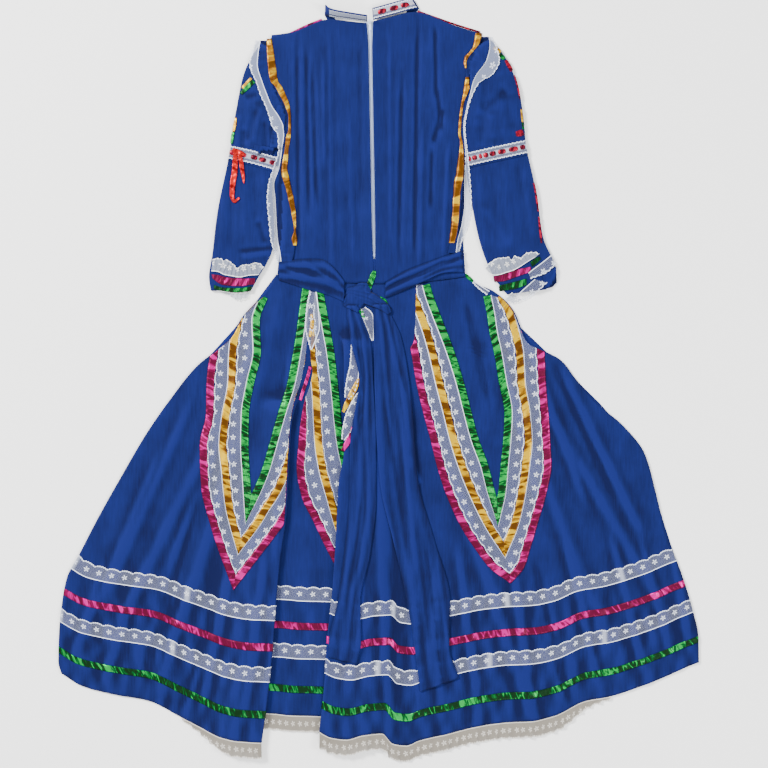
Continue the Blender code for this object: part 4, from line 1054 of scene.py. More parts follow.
TURN = Turn()
UPPER_TURN = 0.5 * (TURN.top - TURN.turned)
LOWER_TURN = 0.5 * (TURN.turned - TURN.low)
STEP_OUT = (-1.5, -0.5, 0.3, 0.6, 0.7, 0.7, 0.7, 0.8, 1.6, 2.8)
STEP_UP = (1.0, 0.95, 0.85, 0.74, 0.62, 0.5, 0.36, 0.21, 0.06, 0.0)

CLOTH_MM = 1.2
WAIST_SIDE = 434.0
WAIST_DIP = 17.0
WAIST_HALF = 170.0
SEAM = 0.6
SKIRT_LENGTH = 730.0
PASSES = 40
EASING = 0.6
UNDER_SHORTENS_FROM = 0.4
UNDER_SHORTENS_OVER = 0.3
RIGHT_FOLD_LANDS = -60.0
LEFT_MM = 325.0
VALLEY_MM = 70.0
RIGHT_MM = 605.0
FOLD_MM = 45.0

SKIRT_LEFT = [
    (434, -162), (458, -170), (483, -198), (507, -219), (536, -235), (557, -258), (581, -288), (634, -331),
    (690, -370), (760, -411), (826, -448), (888, -480), (920, -497), (954, -504), (1013, -510),
    (1056, -511), (1074, -506),
]
SKIRT_RIGHT = [
    (434, 141), (451, 157), (461, 182), (498, 219), (520, 228), (547, 242), (559, 267), (571, 290),
    (602, 315), (642, 349), (675, 389), (722, 426), (784, 444), (846, 459), (914, 485), (976, 504),
    (1013, 512), (1056, 513),
]
FOLD_LEFT = [
    (453, -104), (500, -109), (560, -113), (610, -122), (637, -131), (685, -139), (733, -142), (821, -147),
    (893, -157), (960, -163), (1050, -170), (1130, -179), (1183, -186),
]
FOLD_RIGHT = [
    (453, -51), (541, -54), (720, -54), (768, -62), (859, -67), (957, -74), (1021, -81), (1085, -85),
    (1173, -94),
]
FOLD_LEFT_DEPTH = [(625, 0), (680, 8), (725, 20), (820, 32), (1183, 45)]
FOLD_RIGHT_DEPTH = [(530, 0), (580, 8), (640, 28), (718, 42), (1173, 60)]
HEM_LEFT = [
    (-506, 1074), (-473, 1094), (-419, 1108), (-365, 1118), (-320, 1141), (-283, 1160), (-254, 1174),
    (-221, 1181), (-186, 1183),
]
HEM_VALLEY = [(-200, 1136), (-166, 1138), (-138, 1141), (-96, 1142), (-40, 1146)]
HEM_RIGHT = [
    (-94, 1166), (-74, 1175), (-51, 1178), (-22, 1171), (6, 1169), (24, 1186), (45, 1189), (66, 1181),
    (109, 1171), (162, 1158), (206, 1152), (245, 1150), (283, 1141), (331, 1118), (374, 1110), (411, 1098),
    (453, 1082), (493, 1064), (513, 1056),
]
# The soft folds that the solid has too: across and down, to across and down, width and height
SKIRT_FOLDS = [
    (-150, 470, -330, 1040, 26, 2.4), (-162, 480, -415, 1000, 24, 2.0), (0, 700, 18, 1180, 18, 2.8),
    (38, 610, 66, 1150, 22, 2.6), (120, 760, 250, 1150, 26, 2.8), (150, 470, 380, 1060, 26, 2.2),
    (170, 480, 450, 960, 24, 2.0),
]

# Creases that only show here, with the troughs between them
SKIRT_CREASES = [
    (-196, 520, -250, 760, 16, 1.4), (-140, 560, -168, 900, 13, 1.4), (-232, 640, -330, 900, 15, 1.7),
    (-300, 640, -440, 960, 18, 2.0), (-262, 700, -372, 1080, 14, -1.4), (-350, 720, -470, 1010, 13, 1.4),
    (-180, 880, -214, 1150, 14, 1.8), (-236, 900, -282, 1130, 16, 2.0), (-300, 930, -350, 1100, 13, 1.5),
    (-258, 960, -312, 1120, 10, -1.2), (-388, 940, -440, 1090, 15, 1.8), (-440, 900, -486, 1050, 13, 1.4),
    (0, 640, 20, 905, 13, 1.7), (38, 606, 50, 760, 11, 2.0), (50, 728, 66, 770, 9, 1.4),
    (-20, 700, -30, 1040, 12, 1.2), (84, 560, 118, 700, 14, 1.4), (140, 480, 176, 640, 12, -1.2),
    (196, 560, 262, 820, 16, 1.7), (236, 540, 330, 800, 15, 1.8), (280, 580, 372, 780, 13, -1.4),
    (300, 600, 420, 850, 17, 2.0), (128, 880, 160, 1130, 14, 1.8), (212, 880, 250, 1140, 15, 2.0),
    (250, 900, 306, 1120, 11, -1.4), (300, 860, 352, 1090, 15, 1.8), (372, 850, 424, 1070, 14, 1.7),
    (420, 860, 468, 1050, 12, 1.4), (90, 900, 100, 1150, 12, 1.4), (470, 880, 500, 1040, 12, 1.2),
]


class Fold(Enum):
    """The stretches of the back skirt, from its left side to its right one."""

    LEFT = "left"
    LEFT_FOLD = "left fold"
    VALLEY = "valley"
    RIGHT_FOLD = "right fold"
    RIGHT = "right"


Columns = list[tuple[Fold, Array]]
SIDE_OF = {Fold.LEFT: Fold.LEFT, Fold.LEFT_FOLD: Fold.LEFT, Fold.RIGHT: Fold.RIGHT,
           Fold.RIGHT_FOLD: Fold.RIGHT}
OUTWARD = {Fold.LEFT: 1, Fold.RIGHT: -1}
# Where each fold's edge and its lower layer meet the hem, across
FOLD_ENDS = {Fold.LEFT: (FOLD_LEFT[-1][1], FOLD_LEFT[-1][1]),
             Fold.RIGHT: (FOLD_RIGHT[-1][1], RIGHT_FOLD_LANDS)}


def down_table(rows: Table) -> Line:
    """A smooth line through rows of (down, across)."""
    return smooth_through(*zip(*rows))


def waist(across: Array) -> Array:
    """The waist seam's place down the dress."""
    return WAIST_SIDE + WAIST_DIP * (1 - np.clip(np.abs(across) / WAIST_HALF, 0, 1) ** 2)


def solid_folds(across: Array, down: Array) -> Array:
    """The height of the soft folds that the solid has too, in millimetres.

    Args:
        across: places across, in millimetres.
        down: places down, in millimetres.

    Returns:
        The height at each place.
    """
    height = np.zeros(np.broadcast(across, down).shape)
    for start, top, end, foot, width, high in SKIRT_FOLDS:
        along = (down - top) / (foot - top)
        fade = ease((along + 0.08) / 0.2) * ease((1.1 - along) / 0.2)
        height += high * fade * np.exp(-((across - blend(start, end, along)) / (0.5 * width)) ** 2)
    return height


class SkirtForm:
    """The folded back of the skirt: where each of its columns lies at each distance down."""

    def __init__(self) -> None:
        """Make its lines."""
        self.sides = {Fold.LEFT: down_table(SKIRT_LEFT), Fold.RIGHT: down_table(SKIRT_RIGHT)}
        self.edges = {Fold.LEFT: down_table(FOLD_LEFT), Fold.RIGHT: down_table(FOLD_RIGHT)}
        self.depths = {
            Fold.LEFT: down_table(FOLD_LEFT_DEPTH), Fold.RIGHT: down_table(FOLD_RIGHT_DEPTH)}
        self.hems = {Fold.LEFT: down_table(HEM_LEFT), Fold.VALLEY: down_table(HEM_VALLEY),
                     Fold.RIGHT: down_table(HEM_RIGHT)}

    @staticmethod
    def section(k: Array, depth: Array) -> tuple[Array, Array]:
        """Point k of a fold's section, from flat cloth to a step and then to two turns.

        Args:
            k: from 0 on the upper layer to 9 on the cloth under it.
            depth: how deep the fold is, in millimetres.

        Returns:
            How far out from the fold's edge the point is, and how high.
        """
        stands = ease(depth / TURN.stands)
        turned = ease((depth - TURN.stands) / (TURN.turns - TURN.stands))
        deep = np.maximum(depth, TURN.least)
        upper = np.radians(90 - 45 * np.minimum(k, 4))
        lower = np.radians(90 + 45 * (np.maximum(k, 5) - 5))
        under = np.clip(k - 4, 0, 1)
        out = blend(UPPER_TURN * (np.cos(upper) - 1), LOWER_TURN * (np.cos(lower) + 1) - deep, under)
        up = blend(0.5 * (TURN.top + TURN.turned) + UPPER_TURN * np.sin(upper),
                   0.5 * (TURN.turned + TURN.low) + LOWER_TURN * np.sin(lower), under)
        step_out, step_up = (smooth_through(range(len(step)), step)(k) for step in (STEP_OUT, STEP_UP))
        flat_out = TURN.flat_step * k - UPPER_TURN
        return (blend(blend(flat_out, step_out, stands), out, turned),
                blend(blend(TURN.low, blend(TURN.low, TURN.top, step_up), stands), up, turned))

    def fold_at(self, side: Fold, k: Array | float, down: Array) -> tuple[Array, Array]:
        """Where point k of one fold's section lies, across and up."""
        out, up = self.section(np.zeros_like(down) + k, self.depths[side](down))
        return self.edges[side](down) + OUTWARD[side] * out, up

    def place(self, fold: Fold, share: Array, down: Array) -> tuple[Array, Array]:
        """Where a column lies.

        Args:
            fold: the stretch.
            share: the column's share of the stretch, or its point of the fold's section.
            down: the distance down, in millimetres.

        Returns:
            Its place across and its height, in millimetres.
        """
        if fold in (Fold.LEFT_FOLD, Fold.RIGHT_FOLD):
            return self.fold_at(SIDE_OF[fold], share, down)
        if fold is Fold.VALLEY:
            first, last = (self.fold_at(side, len(STEP_UP) - 1, down)[0] for side in OUTWARD)
            return blend(first, last, share), np.full_like(down, TURN.low)
        inner, side = self.fold_at(fold, 0, down)[0], self.sides[fold](down)
        across = blend(side, inner, share) if fold is Fold.LEFT else blend(inner, side, share)
        depth = self.depths[fold](down)
        back = OUTWARD[fold] * (across - self.edges[fold](down))
        rise = ease(depth / TURN.stands) * (TURN.top - TURN.low)
        up = TURN.low + rise * ease((back + depth) / TURN.run_out + 1)
        return across, up + solid_folds(across, down)

    def hem(self, fold: Fold, share: Array) -> Array:
        """How far down each column ends, in millimetres.

        Args:
            fold: the stretch.
            share: its columns, as shares of it.

        Returns:
            The distance down at each column.
        """
        if fold in (Fold.LEFT_FOLD, Fold.RIGHT_FOLD):
            edge_at, lands_at = FOLD_ENDS[SIDE_OF[fold]]
            return blend(self.hems[SIDE_OF[fold]](edge_at), self.hems[Fold.VALLEY](lands_at),
                         np.clip(share - 4, 0, 1))
        down = np.full_like(share, WAIST_SIDE + SKIRT_LENGTH)
        for _ in range(PASSES):
            down = blend(down, self.hems[fold](self.place(fold, share, down)[0]), EASING)
        return down

    def waist(self, fold: Fold, share: Array) -> Array:
        """How far down each column begins, in millimetres.

        Args:
            fold: the stretch.
            share: its columns, as shares of it.

        Returns:
            The distance down at each column.
        """
        down = np.full_like(share, WAIST_SIDE)
        for _ in range(PASSES):
            down = waist(self.place(fold, share, down)[0]) + SEAM
        return down

    def grid(self, columns: Columns, shares: Array) -> tuple[Array, Array]:
        """The middle of the cloth.

        Args:
            columns: the stretches with their columns.
            shares: the rows, as shares of the way from the waist to the hem.

        Returns:
            Places (rows, columns, 3), and how much of the creases each one takes.
        """
        parts, weights = [], []
        for fold, places in columns:
            top, hem = self.waist(fold, places), self.hem(fold, places)
            folded = fold in (Fold.LEFT_FOLD, Fold.RIGHT_FOLD)
            upper = self.hem(fold, np.zeros_like(places)) if folded else hem
            shortens = ease((shares[:, None] - UNDER_SHORTENS_FROM) / UNDER_SHORTENS_OVER)
            down = blend(top, upper, shares[:, None]) + (hem - upper) * shortens
            across, up = self.place(fold, np.broadcast_to(places, down.shape), down)
            parts.append(np.dstack([across, down, up]))
            weight = np.ones_like(down)
            if folded:
                weight *= 1 - ease(places / 3)
            elif fold is Fold.VALLEY:
                weight *= np.sin(math.pi * places) * 0.5
            weights.append(weight)
        return np.concatenate(parts, axis=1), np.concatenate(weights, axis=1)

    @staticmethod
    def columns(spacing: float) -> Columns:
        """Columns of all stretches, so far apart at the hem, in millimetres.

        Args:
            spacing: the distance between columns.

        Returns:
            The stretches in order, with their columns.
        """
        left, valley, right = (np.linspace(0, 1, round(width / spacing) + 1)
                               for width in (LEFT_MM, VALLEY_MM, RIGHT_MM))
        turn = np.linspace(0, 4, 9)
        across = np.linspace(4, 5, max(3, round(FOLD_MM / spacing)))[1:-1]
        fold = np.concatenate([turn, across, turn + 5])
        return [(Fold.LEFT, left[:-1]), (Fold.LEFT_FOLD, fold), (Fold.VALLEY, valley[1:-1]),
                (Fold.RIGHT_FOLD, fold[::-1]), (Fold.RIGHT, right[1:])]


def offset(middle: Array, distance: Array | float) -> Array:
    """Move a grid out along the upright normals of its rows, by a distance in millimetres.

    Args:
        middle: (rows, columns, 3) places.
        distance: how far each of them moves.

    Returns:
        The moved grid.
    """
    run = np.gradient(middle, axis=1) * (1, 0, 1)
    return middle + unit(run[..., ::-1] * (-1, 0, 1)) * np.broadcast_to(
        distance, middle.shape[:2])[..., None]


class RowTrim(NamedTuple):
    """One row of trim round the skirt, measured up from the hem in millimetres."""

    node: str
    stock: Stock
    lower: float
    upper: float
    columns: int


ROW_TRIMS = (
    RowTrim("row_lace_upper", Stock.TUCKED_LACE, 192, 217, 9),
    RowTrim("row_ribbon_pink", Stock.PINK_ROW, 144, 156, 6),
    RowTrim("row_lace_lower", Stock.TUCKED_LACE, 95, 120, 9),
    RowTrim("row_ribbon_green", Stock.GREEN_ROW, 38, 50, 6),
)


@dataclass
class Skirt:
    """The back of the skirt with its folds, its rows of trim and its hem lace."""

    cloth_spacing: float = 4.6
    row_spacing: float = 5.2
    trim_spacing: float = 1.6
    above_cloth: float = 0.6
    puckers_from: float = 900.0
    lace_drop: float = 26.0
    lace_least: float = 5.0
    lace_fade: float = 90.0
    lace_from: float = -316.0
    lace_to: float = 374.0
    lace_wave: float = 17.0
    lace_wave_height: float = 1.3
    form: SkirtForm = field(default_factory=SkirtForm)
    cloth: Piece | None = field(default=None, init=False)
    rows: dict[str, Piece] = field(default_factory=dict, init=False)

    def lift(self, places: Array, weights: Array) -> Array:
        """How much the creases and the puckers between the rows lift the cloth.

        Args:
            places: (rows, columns, 3) places.
            weights: how much of the lift each of them takes.

        Returns:
            The lift at each place, in millimetres.
        """
        across, down = places[..., 0], places[..., 1]
        lift = relief_of(SKIRT_CREASES, across, down)
        puckered = ease((down - self.puckers_from) / 90)
        lift += unevenness(across, down, 0.22 + 0.25 * puckered)
        warp = 14 * np.sin(down / 53 + across / 130)
        puckers = np.sin((across + warp) / 4.1) * np.sin(down / 29 + across / 57)
        puckers += 0.8 * np.sin((across - warp) / 6.3 + down / 61) * np.sin(down / 17 + across / 83 + 1)
        lift += 0.42 * puckered * puckers
        return np.maximum(lift + 0.3, -0.5) * weights

    def laid(self, spacing: float, shares: Array) -> tuple[Array, Array]:
        """The creased middle of the cloth, and how much of the creases each place takes.

        Args:
            spacing: the distance between columns, in millimetres.
            shares: the rows, as shares of the way from the waist to the hem.

        Returns:
            Places (rows, columns, 3) and shares (rows, columns).
        """
        middle, weights = self.form.grid(self.form.columns(spacing), shares)
        middle[..., 2] += self.lift(middle, weights)
        return middle, weights

    def build(self) -> None:
        """Build the cloth, its rows of trim and its hem lace."""
        shares = np.linspace(0, 1, round(SKIRT_LENGTH / self.row_spacing))
        self.cloth = grid_piece("cloth_skirt_back", self.laid(self.cloth_spacing, shares)[0],
                                Stock.CLOTH, thick=CLOTH_MM, nodes=["skirt_back"])
        self.cloth.modifiers["wall"].offset = 0.0
        for row in ROW_TRIMS:
            self.rows[row.node] = self.row_trim(row)
        self.rows["hem_lace"] = self.hem_lace()

    def row_trim(self, row: RowTrim) -> Piece:
        """Run one trim along the skirt, through both folds.

        Args:
            row: the row's solid, stock and place.

        Returns:
            The finished trim.
        """
        shares = np.linspace(1 - row.lower / SKIRT_LENGTH, 1 - row.upper / SKIRT_LENGTH, row.columns)
        middle = self.laid(self.trim_spacing, shares)[0]
        run = run_of(middle[row.columns // 2])
        width = np.full_like(run, row.upper - row.lower)
        columns = np.linspace(0, 1, row.columns)
        raised = 0.5 * CLOTH_MM + self.above_cloth
        if row.stock is Stock.TUCKED_LACE:
            width -= scalloped(run, 4.2, 21.0)
            share = (width / (row.upper - row.lower))[:, None]
            middle = np.stack([blend(middle[0], middle[-1], s * share) for s in columns])
        else:
            raised = raised + Gathering(0.5, 9.0).lift(run[None, :], columns[:, None])
        coordinates = strip_coordinates(run[:, None], columns[None, :] * width[:, None], columns, width)
        return grid_piece(row.node.replace("row_", "rim_"), offset(middle, raised).transpose(1, 0, 2),
                          row.stock, coordinates, 0.3, [row.node])

    def hem_lace(self) -> Piece:
        """Gather lace along the hem, through both folds, and tuck it away near the sides.

        Returns:
            The finished lace.
        """
        middle, weights = self.laid(self.trim_spacing, np.array([1.0]))
        kept = (middle[0, :, 0] > self.lace_from) & (middle[0, :, 0] < self.lace_to)
        line, weight = middle[0, kept], weights[0, kept, None]
        run = run_of(line)
        near_side = np.minimum(line[:, 0] - self.lace_from, self.lace_to - line[:, 0])
        drop = blend(self.lace_least, self.lace_drop, ease(near_side / self.lace_fade))
        drop -= scalloped(run, 2.6, 13.0)
        shares = np.linspace(0, 1, 8)
        phase = 2 * math.pi * (run / self.lace_wave + 0.25 * np.sin(run / 37.0))[:, None]
        sway = 1.8 * shares * np.cos(phase) * weight
        rise = (self.lace_wave_height * (1 + np.sin(phase)) - 0.8) * shares * weight
        grid = line[:, None] + np.stack([sway, SEAM + drop[:, None] * shares, rise], axis=-1)
        return grid_piece("edging_hem", grid, Stock.HEM_LACE, strip_coordinates(
            run[:, None] * 1.3, shares * drop[:, None], shares, drop), 0.4, ["hem_lace"])


# The V sets

@dataclass(frozen=True)
class VeeSet:
    """Five trims in a V: the middle lines of its ribbons on both legs, and where the legs meet.

    A row is the distance down and then the green, gold and pink ribbon's place across. A tip is
    across and down.
    """

    label: str
    left: Table
    right: Table
    tips: Table = ()


FIRST_VEE = VeeSet(
    "left",
    [(472, -182, -214, -246), (510, -195, -223, -252), (557, -193, -232, -261),
     (610, -204, -234, -268), (660, -212, -243, -269), (710, -213, -248, -279),
     (748, -211, -244, -278), (780, -209, -241, -276), (811, None, -237, -269),
     (828, None, -233, -264), (870, None, None, -251)],
    [(457, -115, -86, -56), (472, -117, -88, -58), (510, -122, -94, -64),
     (557, -129, -102, -72), (610, -139, -110, -82),
     (660, -154, -123, -94), (710, -168, -136, -108), (748, -179, -147, -118),
     (780, -192, -160, -128), (811, None, -180, -144), (828, None, -190, -153),
     (870, None, None, -184)],
    [(-207, 811), (-221, 870), (-229, 928)])
SECOND_VEE = VeeSet(
    "middle",
    [(456, -94, -113, -133), (470, -92, -112, -132), (510, -85, -109, -130), (560, -76, -106, -127),
     (630, -68, -99, -122),
     (672, -64, -97, -120), (705, -60, -95, -121), (745, -52, -89, -124), (790, -42, -77, -116),
     (830, None, -66, -97), (862, None, -56, -82), (905, None, None, -60)],
    [])
FOURTH_VEE = VeeSet(
    "right",
    [(452, 77, 50, 24), (470, 82, 56, 30), (500, 93, 68, 42), (528, 104, 78, 52), (560, 116, 87, 59),
     (608, 131, 98, 67), (659, 144, 111, 79), (700, 155, 121, 90), (741, 170, 134, 100),
     (784, 181, 151, 114), (837, None, 177, 138), (874, None, None, 162), (902, None, None, 184)],
    [(470, 174, 196, 238), (500, 180, 211, 248), (528, 184, 219, 256), (560, 191, 226, 260),
     (608, 199, 229, 262), (659, 208, 237, 266), (700, 206, 240, 269), (741, 202, 236, 271),
     (784, 198, 230, 263), (837, None, 218, 248), (874, None, None, 237), (902, None, None, 228)],
    [(191, 816), (202, 876), (211, 922)])
VALLEY_SHOWS = [(453, 4), (560, 5), (600, 14), (690, 14), (730, 4)]
FOURTH_SHOWS = [(445, 61), (500, 60), (540, 58), (560, 48)]
RIBBON_MM = 12.0
STATION_MM = 1.4
SIDE_CLEAR = 2.0
FOLD_CLEAR = 0.6
VALLEY_CEILING = TURN.low + 3.1


def mitred(leg: Array, distance: float, across_tip: Array) -> Array:
    """One edge of a leg, cut or drawn out to the fold at its tip.

    Args:
        leg: the ribbon's middle line, running to the tip.
        distance: how far to the left of it the edge is, in millimetres.
        across_tip: the direction of the fold.

    Returns:
        The edge's points.
    """
    edge = beside(leg, distance)
    heading = unit(leg[-1] - leg[-6])
    reach = np.linalg.solve(np.array([heading, -across_tip]).T, leg[-1] - edge[-1])[0]
    end = edge[-1] + reach * heading
    kept = (end - edge) @ heading > 0.7
    return np.vstack([edge[kept], end])


def moved(line: Line, by: float | Line) -> Line:
    """The same line, moved across by a distance or by another line."""
    return lambda down: line(down) + (by(down) if callable(by) else by)


class Vees:
    """The V sets of the back skirt."""

    def __init__(self, skirt: Skirt) -> None:
        """Take the skirt that they are sewn to.

        Args:
            skirt: the finished back of the skirt.
        """
        self.form = skirt.form
        under = [skirt.cloth, skirt.rows["row_lace_upper"]]
        self.ground, self.deep_ground = Ground(under), Ground(under, VALLEY_CEILING)
        self.pieces: list[Piece] = []

    def build(self) -> None:
        """Sew on the three sets, each between what hides it on its left and on its right."""
        sides = self.form.sides
        inside_right = moved(sides[Fold.RIGHT], -SIDE_CLEAR)
        self.sew(FIRST_VEE, self.ground, moved(sides[Fold.LEFT], SIDE_CLEAR), self.by_left_fold)
        self.sew(SECOND_VEE, self.deep_ground,
                 moved(self.form.edges[Fold.LEFT], down_table(VALLEY_SHOWS)), inside_right)
        self.sew(FOURTH_VEE, self.ground, down_table(FOURTH_SHOWS), inside_right)

    def by_left_fold(self, down: Array) -> Array:
        """Just short of the left fold, across."""
        return self.form.fold_at(Fold.LEFT, 0, down)[0] - FOLD_CLEAR

    def sew(self, vee: VeeSet, ground: Ground, low: Line, high: Line) -> None:
        """Sew on one set: three ribbons and the laces between them.

        Args:
            vee: the set.
            ground: what it lies on.
            low: the line that hides it on its left.
            high: the line that hides it on its right.
        """
        half = 0.5 * RIBBON_MM
        edges = []
        for column in (1, 2, 3):
            tip = [vee.tips[column - 1]] if vee.tips else []
            legs = [line_through([(row[column], row[0]) for row in rows if row[column] is not None]
                                 + tip, STATION_MM) for rows in (vee.left, vee.right) if rows]
            fold = unit(sum(unit(leg[-6] - leg[-1]) for leg in legs))
            edges.append([[mitred(leg, outer * d, fold) if tip else beside(leg, d)
                           for d in (-half, half)] for leg, outer in zip(legs, (1, -1))])
        laid = partial(self.strips, ground=ground, low=low, high=high)
        for stock, sides in zip((Stock.GREEN, Stock.GOLD, Stock.PINK), edges):
            laid(f"{vee.label}_{stock.name.lower()}", stock, sides)
        for part, inner, outer in zip(("inner", "outer"), edges, edges[1:]):
            laid(f"{vee.label}_lace_{part}", Stock.LACE,
                 [(near[1], far[0]) for near, far in zip(inner, outer)])

    def strips(self, name: str, stock: Stock, sides: Sequence[Sequence[Array]], ground: Ground,
               low: Line, high: Line) -> None:
        """Lay both legs of one trim.

        Args:
            name: the end of the solid's name.
            stock: what it is made of.
            sides: both edges of each leg.
            ground: what it lies on.
            low: the line that hides it on its left.
            high: the line that hides it on its right.
        """
        for number, (near, far) in enumerate(sides):
            count = round(max(run_of(near)[-1], run_of(far)[-1]) / STATION_MM)
            sizes = {"columns": 6, "gathering": Gathering(0.55, 9.0 + 2.0 * number)}
            if stock is Stock.LACE:
                sizes = {"columns": 9, "scallop": 3.4, "lift": 0.4}
            self.pieces.append(Trim(
                f"v_{name}_leg_{'ab'[number]}", stock, even(near, count), even(far, count), ground,
                [f"vee_{name}"], low=low, high=high, **sizes).build())


# The bodice and its zip

BODICE_CREASES = (
    (-130, 70, -127, 400, 8, -1.6), (-115, 80, -111, 330, 8, -1.8), (-106, 110, -98, 320, 9, -1.8),
    (-88, 90, -86, 260, 9, 1.3), (-78, 60, -74, 420, 10, 1.1), (-46, 180, -40, 420, 12, 1.1),
    (-30, 70, -28, 300, 9, -0.7), (18, 60, 20, 380, 8, 0.9), (38, 125, 33, 405, 8, -1.8),
    (63, 45, 58, 400, 7, -2.0), (71, 200, 66, 420, 9, 1.3), (91, 42, 93, 150, 7, -1.8),
    (94, 140, 102, 205, 7, -1.6), (104, 173, 88, 225, 8, -1.6), (86, 237, 84, 330, 7, -1.4),
    (112, 230, 104, 400, 9, 1.4),
)

back_panel = partial(ClothPanel, levels=3, creases=BODICE_CREASES, raised=1.6,
                     rests_on="cloth_bodice_front")


@dataclass
class Bodice:
    """The plain front of the bodice and its two creased backs."""

    front: ClothPanel = field(default_factory=lambda: ClothPanel(
        "bodice_front", 1, uneven=0.0, raised=0.0, flat=(0.34, 0.42), area=0.115))
    left: ClothPanel = field(default_factory=lambda: back_panel(
        "bodice_back_left", flat=(0.17, 0.43), area=0.060))
    right: ClothPanel = field(default_factory=lambda: back_panel(
        "bodice_back_right", flat=(0.175, 0.435), area=0.062))

    def build(self) -> None:
        """Build the three panels."""
        for panel in (self.front, self.left, self.right):
            panel.build()

    def pieces(self) -> list[Piece]:
        """The finished panels."""
        return [self.front.piece, self.left.piece, self.right.piece]


def mesh_piece(name: str, working: bmesh.types.BMesh, stock: Stock, body: str = "root",
               nodes: Sequence[str] = ()) -> Piece:
    """Turn a working mesh, in garment millimetres, into a finished piece.

    Args:
        name: the piece's name.
        working: its mesh, which is freed.
        stock: what it is made of.
        body: the body that it rides on.
        nodes: the solids that it replaces.

    Returns:
        The finished object.
    """
    bmesh.ops.recalc_face_normals(working, faces=working.faces)
    mesh = bpy.data.meshes.new(name)
    working.to_mesh(mesh)
    working.free()
    mesh.vertices.foreach_set("co", to_frame(points_of(mesh)).ravel())
    mesh.flip_normals()
    mesh.shade_smooth()
    mesh.set_sharp_from_angle(angle=math.radians(50))
    piece = placed(name, mesh)
    finish_piece(piece, stock, body, nodes)
    return piece


def rounded_bar(working: bmesh.types.BMesh, place: Sequence[float], size: Sequence[float],
                turn: float = 0.0, rounding: float = 0.3) -> None:
    """Add a bar with rounded edges to a working mesh.

    Args:
        working: the mesh.
        place: its middle, in garment millimetres.
        size: its size across, down and up.
        turn: how far it is turned in the plane, in radians.
        rounding: the radius of its edges as a share of its least size.
    """
    made = bmesh.ops.create_cube(working, size=1.0)["verts"]
    bmesh.ops.scale(working, vec=Vector(size), verts=made)
    edges = {edge for vertex in made for edge in vertex.link_edges}
    bevelled = bmesh.ops.bevel(working, geom=list(edges), offset=rounding * min(size), segments=1,
                               affect="EDGES")
    moved_points = list({vertex for face in bevelled["faces"] for vertex in face.verts})
    bmesh.ops.transform(working, verts=moved_points,
                        matrix=Matrix.Translation(Vector(place)) @ Matrix.Rotation(turn, 4, "Z"))


def thicken(working: bmesh.types.BMesh, thick: float) -> None:
    """Raise a copy of a flat working mesh by a thickness, with walls between the two.

    Args:
        working: the mesh.
        thick: the thickness, in millimetres.
    """
    rim = [edge.verts[:] for edge in working.edges if edge.is_boundary]
    raised = {low: working.verts.new(low.co + Vector((0, 0, thick))) for low in working.verts[:]}
    for face in working.faces[:]:
        working.faces.new([raised[low] for low in face.verts])
    for first, second in rim:
        working.faces.new((first, second, raised[second], raised[first]))
    bmesh.ops.recalc_face_normals(working, faces=working.faces)


# The slider's right half seen from above, as shares of its width and length
SLIDER_HALF = ((0.3, -0.5), (0.5, -0.25), (0.48, 0.0), (0.36, 0.3), (0.35, 0.5))

# The pull down from its hinge: distance, half its width, and half its hole's width
PULL_ROWS = (
    (-0.5, 0.8, 0.0), (0.5, 1.2, 0.5), (2.0, 1.28, 0.8), (3.6, 1.32, 0.5), (5.6, 1.45, 0.0),
    (7.6, 1.6, 0.5), (9.4, 1.75, 0.85), (11.2, 1.8, 0.5), (12.4, 1.8, 0.0), (13.2, 1.5, 0.0),
    (13.5, 0.9, 0.0),
)


